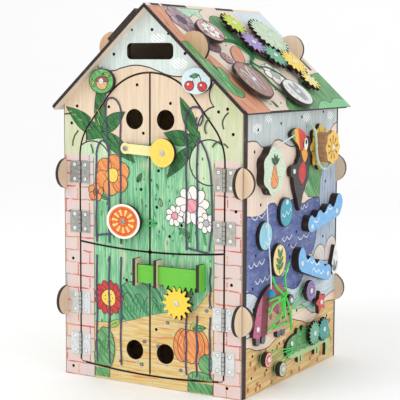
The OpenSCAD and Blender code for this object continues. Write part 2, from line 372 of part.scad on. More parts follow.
// ---- roof pieces
module roof_gear(c,z,ph) { on_roof() translate([c[0],c[1],0]) difference() { union() { plate(7,5) polygon(gpts(z,mod_a,ph)); translate([0,0,0.4]) cylinder(r=8,h=6.7); } translate([0,0,-1]) cylinder(r=bore,h=40); } }
module gear_lime() { color([0.79,0.86,0.28]) roof_gear(g_lime,z_lime,ph_lime); }
module gear_purple() { color([0.63,0.55,0.78]) roof_gear(g_purple,z_purple,ph_purple); }
module gear_teal() { color([0.43,0.71,0.59]) roof_gear(g_teal,z_teal,ph_teal); }
module gear_yellow() { color([0.96,0.84,0.36]) roof_gear(g_yellow,z_yellow,ph_yellow); }
module gear_small() { color([0.96,0.92,0.6]) roof_gear(g_small,z_small,ph_small); }
module gear_big() { color([0.79,0.86,0.75]) roof_gear(g_big,z_big,ph_big); }
module roof_disc(px,py,a,b,w) { on_roof() difference() { union() { plate(w,5) polygon(ell(px,py,a,b)); translate([px,py,0.4]) cylinder(r=7,h=w-0.3); } turn_bore(px,py); } }
module roof_disc_pink() { color([0.89,0.78,0.78]) roof_disc(70,-91,23,29,9); }
module roof_disc_brown() { color([0.66,0.5,0.44]) roof_disc(168,-92,36,34,6); }
module roof_disc_grey() { color([0.88,0.88,0.86]) roof_disc(196,6,27,33,6); }

// ---- cords, as route points in the plane of the face they lie on
rope_holes = [[42,371.5],[120,322]];
lace_holes = [[-9,109],[-9,104.6],[-9,46],[-9,41.6]];
lace_r = [[10,238.2,-5],[10,238.2,0.5],[6,239.6,2.6],[-12,243.5,3.2],[-30,246.5,3.2],[-40,247.2,3.2],[-47.4,242,3.2],[-48.2,236,3.2],[-45,230.5,3.2],[-38,228.2,3.2],[-28,229,3.2],[-10,231.5,3.2],[6,234.4,2.6],[10,235.8,0.5],[10,235.8,-5]];
module button_lace() { color([0.25,0.8,0.45]) on_front() cord(lace_r,1.1,1); }
pull_r = [[-15,361,3],[-15,361,7.6],[-20,359.8,9.2],[-50,352.9,8.9],[-79,346,8],[-90,313,8],[-101.5,278.5,8.4],[-102,262,9.6],[-100.5,237,10.4],[-99,200,12.4],[-98,165,14.6],[-98,149,15]];
module pull_cord() { color([0.93,0.93,0.95]) on_right() cord(pull_r,0.9,1); }
rope_r = [[42,371.5,-5],[42,371.5,3],[42.3,370.2,8],[43,366.5,11.7],[44.2,361.5,13],[46.4,354,13],[48.2,346,13],[49.6,335,13],[52.6,323.5,13],[59,314.4,13],[69,308,13],[84,304.8,12.2],[101,308,11],[113,315,9],[119.5,321.5,3],[120,322,-5]];
module drum_rope() { color([0.75,0.87,0.77]) on_right() cord(rope_r,2.2,1); }
lace_1 = [[-42,97,1],[-42,97,4.4],[-42.6,97.6,7.8],[-44.5,99.2,10.5],[-47.2,102.2,11.8],[-49.4,108,12],[-49.8,116,12.2],[-50.8,124,12.6],[-54,131.6,13],[-60.5,138,12.6],[-69,144.6,10.6],[-76.5,154,9],[-81,163.2,8.4]];
lace_2 = [[-89,112,1],[-89,112,4.4],[-89,112.8,7.3],[-89,114.9,9.6],[-88.6,118.2,10.7],[-86.2,121.9,11.1],[-81.5,124,11.5],[-73,125.4,12.2],[-64,128,14.8],[-56.5,131.2,16.8],[-51.2,136.8,16.4],[-49.3,145,13.6],[-46.5,155.4,10.8],[-38,167,9.6],[-29.5,176.5,9.2]];
lace_3 = [[-47,127.5,13.6],[-41.5,122.8,12.4],[-35.5,117,11],[-29.6,109.5,10],[-24.5,102,9.2],[-21.6,95,8.8],[-20,88,8.6],[-19,81,8.4],[-18.6,74.5,8.2]];
lace_4 = [[-90,89,1],[-90,89,4.2],[-89.4,89.4,7.2],[-87.6,90.5,9.7],[-84.4,92.5,10.8],[-77.4,97,11],[-67,100.6,11],[-58.5,104.5,11.2],[-54.4,111.5,11.4],[-53.8,119,11.6],[-55.2,126.5,11.2]];
lace_5 = [[-72,88,1],[-72,88,4.6],[-71.2,88,7.2],[-69.2,88.1,9.2],[-66,88.2,10],[-58,88.4,9.6],[-51,88.5,9.4],[-44,88.5,9.6],[-36,88.5,10],[-32.8,88.5,9.2],[-30.8,88.5,7.2],[-30,88.5,4.6],[-30,88.5,1]];
lace_6 = [[-60,131.6,11],[-66,131.2,10.2],[-73,130.9,9.6],[-80,130.4,9],[-86,129.9,8.6],[-91,129.4,8.4]];
lace_7 = [[-56,132,9.2],[-50,132.8,9],[-43,133.4,8.9],[-36,133.1,8.8],[-30,132.2,8.7],[-25,130.8,8.6]];
module lacing_lace() { color([0.24,0.86,0.28]) on_right() { for(q=[lace_1,lace_3,lace_6]) cord(q,1.6,1); for(q=[lace_2,lace_4,lace_5,lace_7]) cord(q,1.3,1); } }
el_1 = [[-9,109.9,-4],[-9,109.9,1.5],[-6,111,3.6],[34,131.2,3.8],[40,131.1,3.8],[44.8,126.3,3.8],[43.5,120.3,3.8],[37.5,117.8,3.8],[10,111.4,3.8],[-6,108.4,3.6],[-9,108.1,1.5],[-9,108.1,-4]];
el_2 = [[-9,105.5,-4],[-9,105.5,1.5],[-6,105.6,3.6],[69,107.7,3.8],[75,108.3,3.8],[80.6,104.1,3.8],[80.4,98.1,3.8],[74,94.3,3.8],[67,95.7,3.8],[10,101.6,3.8],[-6,103.6,3.6],[-9,103.7,1.5],[-9,103.7,-4]];
el_3 = [[-9,46.9,-4],[-9,46.9,6],[-12,47,7.4],[-24,47.6,6.8],[-32,48.2,4.6],[-98,54.4,3.8],[-104,54.2,3.8],[-107.8,49,3.8],[-106.2,43.4,3.8],[-101,41.3,3.8],[-34,44.1,4.8],[-24,44.6,6.8],[-12,45.1,7.4],[-9,45.1,6],[-9,45.1,-4]];
el_4 = [[-9,42.5,-4],[-9,42.5,6],[-12,42.3,7.4],[-30,37.6,6.6],[-52,31.2,3.8],[-58,31.4,3.8],[-62.8,27,3.8],[-62.6,21.6,3.8],[-57,17.6,3.8],[-51,19,3.8],[-30,31,6.4],[-12,40.3,7.2],[-9,40.7,6],[-9,40.7,-4]];
module elastics() { color([0.3,0.85,0.4]) on_right() { cord(el_1,0.8,1); cord(el_2,0.8,1); cord(el_3,0.8,1); cord(el_4,0.8,1); } }
roof_1 = [[71.6,-100.5,1.9],[76.8,-97.8,1.9],[79.6,-91,1.9],[79.4,-82,1.9],[78.5,-64,1.9],[78,-46,1.9],[78.5,-30,1.9],[81.5,-16,1.9],[89,-6,1.9],[99,-2.5,1.9],[109,-8,1.9],[116.5,-18,1.9],[121.5,-27,2.2],[128,-33.5,2.4],[137,-32.5,1.9],[147,-28,1.9],[158,-26.8,1.9],[170,-27,1.9],[182,-23,1.9],[192,-15.5,1.9],[200,-7,1.9],[204.3,0,1.9],[204.8,5,1.9]];
roof_2 = [[68.4,-100.5,1.9],[63,-97.7,1.9],[60.4,-90.5,1.9],[62.8,-83.3,1.9],[68.6,-76.4,1.9],[73.4,-66,1.9],[74.4,-48,1.9],[74.9,-29.5,1.9],[78.2,-14,1.9],[86.5,-2.7,1.9],[99,1.4,1.9],[111.3,-5.6,2],[118.5,-15,3.4],[121.2,-26.5,5.6],[123.3,-32.6,6],[128.2,-34.9,6],[133.1,-32.6,6],[135.1,-27,5.4],[134.4,-17,3],[133,-8,1.9],[134,4,1.9],[140,17.5,1.9],[151,28.5,1.9],[165,34,1.9],[178,33,1.9],[189.5,27,1.9],[198.5,19,1.9],[203.6,12.6,1.9],[204.9,8.6,1.9]];
roof_3 = [[127.4,-38.6,2],[126.8,-46,1.9],[126.6,-56,1.9],[126.8,-65,1.9],[128.7,-69.5,1.9],[133.2,-71.4,1.9],[137.7,-69.5,1.9],[139.6,-65,1.9],[139.4,-56,1.9],[137.4,-46,1.9],[135,-38.6,2]];
module roof_cord() { color([0.08,0.43,0.24]) on_roof() for(q=[roof_1,roof_2,roof_3]) cord(q,1.4,1); }

front_wall();
front_inner_frame();
back_wall();
left_wall();
right_wall();
floor_panel();
roof_left();
roof_right();
roof_left_board();
door_upper_left();
door_upper_right();
door_lower_left();
door_lower_right();
hinge_frame_leaves();
hinges_upper_left();
hinges_upper_right();
hinges_lower_left();
hinges_lower_right();
root_screws();
latch_arm();
button_disc();
bolt_bar();
bolt_keeper_left();
bolt_keeper_right();
pinion_gear();
gable_disc_left();
gable_disc_right();
bird_lever();
guide_tile();
pull_bead();
rope_drum();
oval_blue_left();
oval_blue_right();
oval_yellow();
oval_white();
wave_rails();
lacing_board();
shell_knob();
star_knob();
log_plate();
log_gear_front();
log_gear_rear();
round_knob_a();
round_knob_b();
lace_disc();
gear_lime();
gear_purple();
gear_teal();
gear_yellow();
gear_small();
gear_big();
roof_disc_pink();
roof_disc_brown();
roof_disc_grey();
button_lace();
pull_cord();
drum_rope();
lacing_lace();
elastics();
roof_cord();
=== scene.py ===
import math
import bpy
from mathutils import Matrix, Vector


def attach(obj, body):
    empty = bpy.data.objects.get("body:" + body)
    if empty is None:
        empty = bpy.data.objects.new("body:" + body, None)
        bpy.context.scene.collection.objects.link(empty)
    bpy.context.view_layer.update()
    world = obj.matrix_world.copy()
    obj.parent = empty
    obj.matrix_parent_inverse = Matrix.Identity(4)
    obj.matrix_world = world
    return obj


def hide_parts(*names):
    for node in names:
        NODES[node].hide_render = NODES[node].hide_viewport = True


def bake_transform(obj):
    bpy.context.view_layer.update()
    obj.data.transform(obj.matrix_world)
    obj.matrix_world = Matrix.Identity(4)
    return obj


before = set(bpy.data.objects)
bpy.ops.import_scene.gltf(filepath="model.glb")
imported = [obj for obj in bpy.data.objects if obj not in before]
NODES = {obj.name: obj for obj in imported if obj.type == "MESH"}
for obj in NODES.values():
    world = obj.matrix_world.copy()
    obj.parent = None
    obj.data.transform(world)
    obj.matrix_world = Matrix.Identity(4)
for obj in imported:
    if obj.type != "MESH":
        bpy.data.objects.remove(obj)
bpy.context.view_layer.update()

scene = bpy.context.scene

# ------------------------------------------------------------------ camera
W = 0.3
AZ, EL, ROLL = (math.radians(a) for a in (30.41, 6.44, 0.25))
target = Vector((-1.28883427, 2.14656461, 0.56728615)) * W
back = Vector((math.sin(AZ) * math.cos(EL), -math.cos(AZ) * math.cos(EL), math.sin(EL)))
eye = target + back * (8.707 * W)
right = (-back).cross(Vector((0, 0, 1))).normalized()
up = right.cross(-back).normalized()
r2 = right * math.cos(ROLL) + up * math.sin(ROLL)
u2 = -right * math.sin(ROLL) + up * math.cos(ROLL)
cam = bpy.data.cameras.new("camera")
cam.sensor_width = 36
cam.lens = 1214.6 / 400 * 36
cam.clip_start = 0.05
cam.clip_end = 60
cam_ob = bpy.data.objects.new("camera", cam)
scene.collection.objects.link(cam_ob)
m = Matrix((r2, u2, back)).transposed().to_4x4()
m.translation = eye
cam_ob.matrix_world = m
scene.camera = cam_ob

# ------------------------------------------------------------------ planes, in mm
SLOPE = math.radians(42.4)
CS, SN = math.cos(SLOPE), math.sin(SLOPE)
RIDGE = 546.2
SAG, SILL = 1030.0, 15.0      # doors: radius of the sagging split and sill, height of the sill


def on_front(p):
    return Vector((p[0], -155 - p[2], p[1])) / 1000


def on_right(p):
    return Vector((150 + p[2], p[0], p[1])) / 1000


def on_left(p):
    return Vector((-150 - p[2], p[0], p[1])) / 1000


def on_back(p):
    return Vector((p[0], 155 + p[2], p[1])) / 1000


def on_roof(p):
    return Vector((p[0] * CS + p[2] * SN, p[1], RIDGE - p[0] * SN + p[2] * CS)) / 1000


def on_roof_left(p):
    return Vector((-p[0] * CS - p[2] * SN, p[1], RIDGE - p[0] * SN + p[2] * CS)) / 1000


# ------------------------------------------------------------------ shader language
NT = None


class F:
    """A float in the current material."""

    def __init__(self, s):
        self.s = s

    def __add__(self, o):
        return op("ADD", self, o)

    __radd__ = __add__

    def __sub__(self, o):
        return op("SUBTRACT", self, o)

    def __rsub__(self, o):
        return op("SUBTRACT", o, self)

    def __mul__(self, o):
        return op("MULTIPLY", self, o)

    __rmul__ = __mul__

    def __truediv__(self, o):
        return op("DIVIDE", self, o)

    def __neg__(self):
        return op("MULTIPLY", self, -1.0)


def put(sock, v):
    if isinstance(v, F):
        NT.links.new(v.s, sock)
    elif isinstance(v, bpy.types.NodeSocket):
        NT.links.new(v, sock)
    else:
        sock.default_value = v


def op(kind, a, b=None, c=None, clamp=False):
    n = NT.nodes.new("ShaderNodeMath")
    n.operation = kind
    n.use_clamp = clamp
    for i, v in enumerate((a, b, c)):
        if v is not None:
            put(n.inputs[i], v)
    return F(n.outputs[0])


def fmin(*a):
    r = a[0]
    for x in a[1:]:
        r = op("MINIMUM", r, x)
    return r


def fmax(*a):
    r = a[0]
    for x in a[1:]:
        r = op("MAXIMUM", r, x)
    return r


def fabs(a):
    return op("ABSOLUTE", a)


def fsin(a):
    return op("SINE", a)


def fmod(a, b):
    return op("FLOORED_MODULO", a, b)


def clip(a):
    return op("ADD", a, 0.0, clamp=True)


def inside(d, soft=0.5):
    """1 where the signed distance d in mm is positive."""
    return op("MULTIPLY_ADD", d, 1.0 / soft, 0.5, clamp=True)


def line(d, width, soft=0.5):
    """1 within width/2 of d = 0."""
    return inside(op("SUBTRACT", width / 2, fabs(d)), soft)


def ramp(a, lo, hi):
    return op("MULTIPLY_ADD", a, 1.0 / (hi - lo), -lo / (hi - lo), clamp=True)


def disc(u, v, cu, cv, r, sv=1.0):
    """Signed distance, positive inside a disc, squeezed by sv in v."""
    du, dv = u - cu, (v - cv) * sv
    return r - op("SQRT", du * du + dv * dv)


def vec(x, y, z=0.0):
    n = NT.nodes.new("ShaderNodeCombineXYZ")
    for i, v in enumerate((x, y, z)):
        put(n.inputs[i], v)
    return n.outputs[0]


def noise(u, v, su, sv, detail=2.0, rough=0.55, w=0.0):
    n = NT.nodes.new("ShaderNodeTexNoise")
    n.inputs["Scale"].default_value = 1.0
    n.inputs["Detail"].default_value = detail
    n.inputs["Roughness"].default_value = rough
    put(n.inputs["Vector"], vec(u * su, v * sv, w))
    return F(n.outputs[0])


def noise3(p, scale, detail=2.0, rough=0.55):
    n = NT.nodes.new("ShaderNodeTexNoise")
    n.inputs["Scale"].default_value = scale
    n.inputs["Detail"].default_value = detail
    n.inputs["Roughness"].default_value = rough
    put(n.inputs["Vector"], p)
    return F(n.outputs[0])


def voronoi(u, v, su, sv, w=0.0):
    n = NT.nodes.new("ShaderNodeTexVoronoi")
    n.inputs["Scale"].default_value = 1.0
    put(n.inputs["Vector"], vec(u * su, v * sv, w))
    return F(n.outputs["Distance"])


def along(u, pts):
    """v as a smooth function of u, through points (u, v) of a print in mm."""
    lo, hi = pts[0][0], pts[-1][0]
    a, b = min(p[1] for p in pts) - 4.0, max(p[1] for p in pts) + 4.0
    n = NT.nodes.new("ShaderNodeFloatCurve")
    m = n.mapping
    m.extend = "HORIZONTAL"
    cv = m.curves[0]
    cv.points[0].location = (0.0, (pts[0][1] - a) / (b - a))
    cv.points[1].location = (1.0, (pts[-1][1] - a) / (b - a))
    for p in pts[1:-1]:
        cv.points.new((p[0] - lo) / (hi - lo), (p[1] - a) / (b - a))
    m.update()
    put(n.inputs["Value"], (u - lo) / (hi - lo))
    return F(n.outputs[0]) * (b - a) + a


def lin(c):
    f = lambda x: x / 12.92 if x <= 0.04045 else ((x + 0.055) / 1.055) ** 2.4
    return tuple(f(x / 255) for x in c) + (1.0,)


def mixc(a, b, fac):
    n = NT.nodes.new("ShaderNodeMix")
    n.data_type = "RGBA"
    put(n.inputs[0], fac)
    for i, c in ((6, a), (7, b)):
        if isinstance(c, tuple):
            n.inputs[i].default_value = lin(c)
        else:
            NT.links.new(c, n.inputs[i])
    return n.outputs[2]


def shade(c, fac):
    """c times a grey of fac."""
    n = NT.nodes.new("ShaderNodeMix")
    n.data_type = "RGBA"
    n.blend_type = "MULTIPLY"
    n.inputs[0].default_value = 1.0
    if isinstance(c, tuple):
        n.inputs[6].default_value = lin(c)
    else:
        NT.links.new(c, n.inputs[6])
    k = NT.nodes.new("ShaderNodeCombineColor")
    for i in range(3):
        put(k.inputs[i], fac)
    NT.links.new(k.outputs[0], n.inputs[7])
    return n.outputs[2]


class Mat:
    def __init__(self, name):
        global NT
        self.m = bpy.data.materials.new(name)
        self.m.use_nodes = True
        NT = self.m.node_tree
        self.b = NT.nodes["Principled BSDF"]
        tc = NT.nodes.new("ShaderNodeTexCoord")
        self.p = tc.outputs["Object"]
        s = NT.nodes.new("ShaderNodeSeparateXYZ")
        NT.links.new(tc.outputs["Object"], s.inputs[0])
        self.x, self.y, self.z = (F(s.outputs[i]) * 1000.0 for i in range(3))
        self.nrm = tc.outputs["Normal"]

    def facing(self, axis):
        """1 on faces that look along axis, 0 on their sides, -1 behind."""
        n = NT.nodes.new("ShaderNodeVectorMath")
        n.operation = "DOT_PRODUCT"
        NT.links.new(self.nrm, n.inputs[0])
        n.inputs[1].default_value = axis
        return F(n.outputs["Value"])

    def color(self, c):
        put(self.b.inputs["Base Color"], c) if not isinstance(c, tuple) else setattr(self.b.inputs["Base Color"], "default_value", lin(c))

    def rough(self, r):
        put(self.b.inputs["Roughness"], r)

    def bump(self, h, strength=0.2, dist=0.0004):
        n = NT.nodes.new("ShaderNodeBump")
        n.inputs["Strength"].default_value = strength
        n.inputs["Distance"].default_value = dist
        put(n.inputs["Height"], h)
        NT.links.new(n.outputs[0], self.b.inputs["Normal"])


# ------------------------------------------------------------------ cords, along the same route points as their solids
LACE_R = [[10, 238.2, -5], [10, 238.2, 0.5], [6, 239.6, 2.6], [-12, 243.5, 3.2], [-30, 246.5, 3.2], [-40, 247.2, 3.2], [-47.4, 242, 3.2], [-48.2, 236, 3.2], [-45, 230.5, 3.2], [-38, 228.2, 3.2], [-28, 229, 3.2], [-10, 231.5, 3.2], [6, 234.4, 2.6], [10, 235.8, 0.5], [10, 235.8, -5]]
PULL_U = [[-15, 361, 3], [-15, 361, 7.6], [-20, 359.8, 9.2], [-50, 352.9, 8.9], [-79, 346, 8]]
PULL_L = [[-101.5, 278.5, 8.4], [-102, 262, 9.6], [-100.5, 237, 10.4], [-99, 200, 12.4], [-98, 165, 14.6], [-98, 149, 15]]
ROPE_R = [[42, 371.5, -5], [42, 371.5, 3], [42.3, 370.2, 8], [43, 366.5, 11.7], [44.2, 361.5, 13], [46.4, 354, 13], [48.2, 346, 13], [49.6, 335, 13], [52.6, 323.5, 13], [59, 314.4, 13], [69, 308, 13], [84, 304.8, 12.2], [101, 308, 11], [113, 315, 9], [119.5, 321.5, 3], [120, 322, -5]]
LACE_1 = [[-42, 97, 1], [-42, 97, 4.4], [-42.6, 97.6, 7.8], [-44.5, 99.2, 10.5], [-47.2, 102.2, 11.8], [-49.4, 108, 12], [-49.8, 116, 12.2], [-50.8, 124, 12.6], [-54, 131.6, 13], [-60.5, 138, 12.6], [-69, 144.6, 10.6], [-76.5, 154, 9], [-81, 163.2, 8.4]]
LACE_2 = [[-89, 112, 1], [-89, 112, 4.4], [-89, 112.8, 7.3], [-89, 114.9, 9.6], [-88.6, 118.2, 10.7], [-86.2, 121.9, 11.1], [-81.5, 124, 11.5], [-73, 125.4, 12.2], [-64, 128, 14.8], [-56.5, 131.2, 16.8], [-51.2, 136.8, 16.4], [-49.3, 145, 13.6], [-46.5, 155.4, 10.8], [-38, 167, 9.6], [-29.5, 176.5, 9.2]]
LACE_3 = [[-47, 127.5, 13.6], [-41.5, 122.8, 12.4], [-35.5, 117, 11], [-29.6, 109.5, 10], [-24.5, 102, 9.2], [-21.6, 95, 8.8], [-20, 88, 8.6], [-19, 81, 8.4], [-18.6, 74.5, 8.2]]
LACE_4 = [[-90, 89, 1], [-90, 89, 4.2], [-89.4, 89.4, 7.2], [-87.6, 90.5, 9.7], [-84.4, 92.5, 10.8], [-77.4, 97, 11], [-67, 100.6, 11], [-58.5, 104.5, 11.2], [-54.4, 111.5, 11.4], [-53.8, 119, 11.6], [-55.2, 126.5, 11.2]]
LACE_5 = [[-72, 88, 1], [-72, 88, 4.6], [-71.2, 88, 7.2], [-69.2, 88.1, 9.2], [-66, 88.2, 10], [-58, 88.4, 9.6], [-51, 88.5, 9.4], [-44, 88.5, 9.6], [-36, 88.5, 10], [-32.8, 88.5, 9.2], [-30.8, 88.5, 7.2], [-30, 88.5, 4.6], [-30, 88.5, 1]]
LACE_6 = [[-60, 131.6, 11], [-66, 131.2, 10.2], [-73, 130.9, 9.6], [-80, 130.4, 9], [-86, 129.9, 8.6], [-91, 129.4, 8.4]]
LACE_7 = [[-56, 132, 9.2], [-50, 132.8, 9], [-43, 133.4, 8.9], [-36, 133.1, 8.8], [-30, 132.2, 8.7], [-25, 130.8, 8.6]]
EL_1 = [[-9, 109.9, -4], [-9, 109.9, 1.5], [-6, 111, 3.6], [34, 131.2, 3.8], [40, 131.1, 3.8], [44.8, 126.3, 3.8], [43.5, 120.3, 3.8], [37.5, 117.8, 3.8], [10, 111.4, 3.8], [-6, 108.4, 3.6], [-9, 108.1, 1.5], [-9, 108.1, -4]]
EL_2 = [[-9, 105.5, -4], [-9, 105.5, 1.5], [-6, 105.6, 3.6], [69, 107.7, 3.8], [75, 108.3, 3.8], [80.6, 104.1, 3.8], [80.4, 98.1, 3.8], [74, 94.3, 3.8], [67, 95.7, 3.8], [10, 101.6, 3.8], [-6, 103.6, 3.6], [-9, 103.7, 1.5], [-9, 103.7, -4]]
EL_3 = [[-9, 46.9, -4], [-9, 46.9, 6], [-12, 47, 7.4], [-24, 47.6, 6.8], [-32, 48.2, 4.6], [-98, 54.4, 3.8], [-104, 54.2, 3.8], [-107.8, 49, 3.8], [-106.2, 43.4, 3.8], [-101, 41.3, 3.8], [-34, 44.1, 4.8], [-24, 44.6, 6.8], [-12, 45.1, 7.4], [-9, 45.1, 6], [-9, 45.1, -4]]
EL_4 = [[-9, 42.5, -4], [-9, 42.5, 6], [-12, 42.3, 7.4], [-30, 37.6, 6.6], [-52, 31.2, 3.8], [-58, 31.4, 3.8], [-62.8, 27, 3.8], [-62.6, 21.6, 3.8], [-57, 17.6, 3.8], [-51, 19, 3.8], [-30, 31, 6.4], [-12, 40.3, 7.2], [-9, 40.7, 6], [-9, 40.7, -4]]
ROOF_1 = [[71.6, -100.5, 1.9], [76.8, -97.8, 1.9], [79.6, -91, 1.9], [79.4, -82, 1.9], [78.5, -64, 1.9], [78, -46, 1.9], [78.5, -30, 1.9], [81.5, -16, 1.9], [89, -6, 1.9], [99, -2.5, 1.9], [109, -8, 1.9], [116.5, -18, 1.9], [121.5, -27, 2.2], [128, -33.5, 2.4], [137, -32.5, 1.9], [147, -28, 1.9], [158, -26.8, 1.9], [170, -27, 1.9], [182, -23, 1.9], [192, -15.5, 1.9], [200, -7, 1.9], [204.3, 0, 1.9], [204.8, 5, 1.9]]
ROOF_2 = [[68.4, -100.5, 1.9], [63, -97.7, 1.9], [60.4, -90.5, 1.9], [62.8, -83.3, 1.9], [68.6, -76.4, 1.9], [73.4, -66, 1.9], [74.4, -48, 1.9], [74.9, -29.5, 1.9], [78.2, -14, 1.9], [86.5, -2.7, 1.9], [99, 1.4, 1.9], [111.3, -5.6, 2], [118.5, -15, 3.4], [121.2, -26.5, 5.6], [123.3, -32.6, 6], [128.2, -34.9, 6], [133.1, -32.6, 6], [135.1, -27, 5.4], [134.4, -17, 3], [133, -8, 1.9], [134, 4, 1.9], [140, 17.5, 1.9], [151, 28.5, 1.9], [165, 34, 1.9], [178, 33, 1.9], [189.5, 27, 1.9], [198.5, 19, 1.9], [203.6, 12.6, 1.9], [204.9, 8.6, 1.9]]
ROOF_3 = [[127.4, -38.6, 2], [126.8, -46, 1.9], [126.6, -56, 1.9], [126.8, -65, 1.9], [128.7, -69.5, 1.9], [133.2, -71.4, 1.9], [137.7, -69.5, 1.9], [139.6, -65, 1.9], [139.4, -56, 1.9], [137.4, -46, 1.9], [135, -38.6, 2]]


def smooth(pts, n=6):
    """Centripetal curve through the points, in metres."""
    out = []
    m = len(pts)
    for i in range(m - 1):
        p1, p2 = pts[i], pts[i + 1]
        p0 = pts[i - 1] if i else p1 * 2 - p2
        p3 = pts[i + 2] if i + 2 < m else p2 * 2 - p1
        t0 = 0.0
        t1 = t0 + max((p1 - p0).length, 1e-6) ** 0.5
        t2 = t1 + max((p2 - p1).length, 1e-6) ** 0.5
        t3 = t2 + max((p3 - p2).length, 1e-6) ** 0.5
        for k in range(n):
            t = t1 + (t2 - t1) * k / n
            a1 = p0 * ((t1 - t) / (t1 - t0)) + p1 * ((t - t0) / (t1 - t0))
            a2 = p1 * ((t2 - t) / (t2 - t1)) + p2 * ((t - t1) / (t2 - t1))
            a3 = p2 * ((t3 - t) / (t3 - t2)) + p3 * ((t - t2) / (t3 - t2))
            b1 = a1 * ((t2 - t) / (t2 - t0)) + a2 * ((t - t0) / (t2 - t0))
            b2 = a2 * ((t3 - t) / (t3 - t1)) + a3 * ((t - t1) / (t3 - t1))
            out.append(b1 * ((t2 - t) / (t2 - t1)) + b2 * ((t - t1) / (t2 - t1)))
    out.append(pts[-1])
    return out


def run(pts):
    return sum((b - a).length for a, b in zip(pts, pts[1:]))


def fibre(name, a, b, pitch, rough=0.6):
    """Braided or twisted thread: two tones in a slanting weave, with its bump."""
    mat = Mat(name)
    w1 = fsin((mat.x + mat.y * 1.3 + mat.z * 0.9) * (6.283 / pitch))
    w2 = fsin((mat.x - mat.y * 1.1 - mat.z * 1.2) * (6.283 / pitch))
    n = noise3(mat.p, 900, 2)
    k = op("MULTIPLY_ADD", w1 * w2, 0.35, op("MULTIPLY_ADD", n, 0.5, 0.25))
    mat.color(mixc(a, b, ramp(k, 0.3, 0.75)))
    mat.rough(op("MULTIPLY_ADD", n, 0.2, rough - 0.1))
    mat.bump(k, 0.5, 0.0003)
    return mat


THREAD = {
    "lace_green": fibre("lace_green", (70, 200, 110), (36, 160, 80), 1.6),
    "cord_white": fibre("cord_white", (246, 246, 248), (214, 216, 222), 1.2),
    "rope_mint": fibre("rope_mint", (214, 234, 214), (150, 190, 158), 3.2),
    "lace_neon": fibre("lace_neon", (84, 236, 92), (40, 206, 56), 2.2),
    "elastic_green": fibre("elastic_green", (104, 226, 128), (62, 196, 92), 1.2),
    "cord_dark_green": fibre("cord_dark_green", (28, 132, 74), (10, 92, 50), 1.8),
}


def curve_cord(name, pts, plane, r, thread, body, nodes, rev=False):
    p = [plane(q) for q in pts]
    if rev:
        p = p[::-1]
    q = smooth(p)
    cu = bpy.data.curves.new(name, "CURVE")
    cu.dimensions = "3D"
    sp = cu.splines.new("POLY")
    sp.points.add(len(q) - 1)
    for i, v in enumerate(q):
        sp.points[i].co = (*v, 1)
    cu.bevel_depth = r / 1000
    cu.bevel_resolution = 3
    cu.use_fill_caps = True
    o = bpy.data.objects.new(name, cu)
    scene.collection.objects.link(o)
    cu.materials.append(THREAD[thread].m)
    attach(o, body)
    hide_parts(*nodes)
    run(q)
    return o


def tube_mesh(name, q, r, sides=12):
    t = [(q[min(i + 1, len(q) - 1)] - q[max(i - 1, 0)]).normalized() for i in range(len(q))]
    n = t[0].orthogonal().normalized()
    vs, fs = [], []
    for i, c in enumerate(q):
        n = (n - t[i] * n.dot(t[i])).normalized()
        b = t[i].cross(n)
        for k in range(sides):
            a = 2 * math.pi * k / sides
            vs.append(c + (n * math.cos(a) + b * math.sin(a)) * r)
    for i in range(len(q) - 1):
        for k in range(sides):
            fs.append((i * sides + k, i * sides + (k + 1) % sides, (i + 1) * sides + (k + 1) % sides, (i + 1) * sides + k))
    fs.append(tuple(range(sides))[::-1])
    fs.append(tuple((len(q) - 1) * sides + k for k in range(sides)))
    me = bpy.data.meshes.new(name)
    me.from_pydata([tuple(v) for v in vs], [], fs)
    for p in me.polygons:
        p.use_smooth = len(p.vertices) == 4
    o = bpy.data.objects.new(name, me)
    scene.collection.objects.link(o)
    return o


curve_cord("button_lace_cord", LACE_R, on_front, 1.1, "lace_green", "door_ur", ["button_lace"])
curve_cord("drum_rope_cord", ROPE_R, on_right, 2.2, "rope_mint", "house", ["drum_rope"])
for k, e, r, far, lay in (("a", LACE_1, 1.6, "bare", "loose"), ("b", LACE_2, 1.3, "bare", "loose"), ("c", LACE_3, 1.6, "bare", "hanging"), ("d", LACE_4, 1.3, "knot", "loose"), ("e", LACE_5, 1.3, "object", "taut"), ("f", LACE_6, 1.6, "bare", "loose"), ("g", LACE_7, 1.3, "bare", "loose")):
    curve_cord("lacing_lace_" + k, e, on_right, r, "lace_neon", "house", ["lacing_lace"])
for i, e in enumerate((EL_1, EL_2, EL_3, EL_4)):
    curve_cord("elastic_loop_%d" % (i + 1), e, on_right, 0.8, "elastic_green", "house", ["elastics"])
for k, e, far in (("a", ROOF_1, "object"), ("b", ROOF_2, "object"), ("c", ROOF_3, "knot")):
    curve_cord("roof_cord_" + k, e, on_roof, 1.4, "cord_dark_green", "house", ["roof_cord"])

q = smooth([on_right(p) for p in PULL_U], 8)
o = tube_mesh("pull_cord_upper", q, 0.0009)
o.data.materials.append(THREAD["cord_white"].m)
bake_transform(o)
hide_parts("pull_cord")
run(q)
q = smooth([on_right(p) for p in PULL_L], 8)
o = tube_mesh("pull_cord_lower", q, 0.0009)
o.data.materials.append(THREAD["cord_white"].m)
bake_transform(o)
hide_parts("pull_cord")
run(q)


WOOD = (230, 210, 184)
INK = (52, 46, 50)
BURN = (58, 40, 34)
FRONT, RIGHT, LEFT, BACK = (0, -1, 0), (1, 0, 0), (-1, 0, 0), (0, 1, 0)
ROOF_R, ROOF_L = (SN, 0, CS), (-SN, 0, CS)


def grain(u, v):
    """Long wood grain along v, from 0 to 1."""
    g = noise(u, v, 0.22, 0.012, 3.0, 0.6, 3.1)
    f = noise(u, v, 1.6, 0.03, 2.0, 0.6, 7.7)
    return op("MULTIPLY_ADD", g, 0.65, f * 0.35)


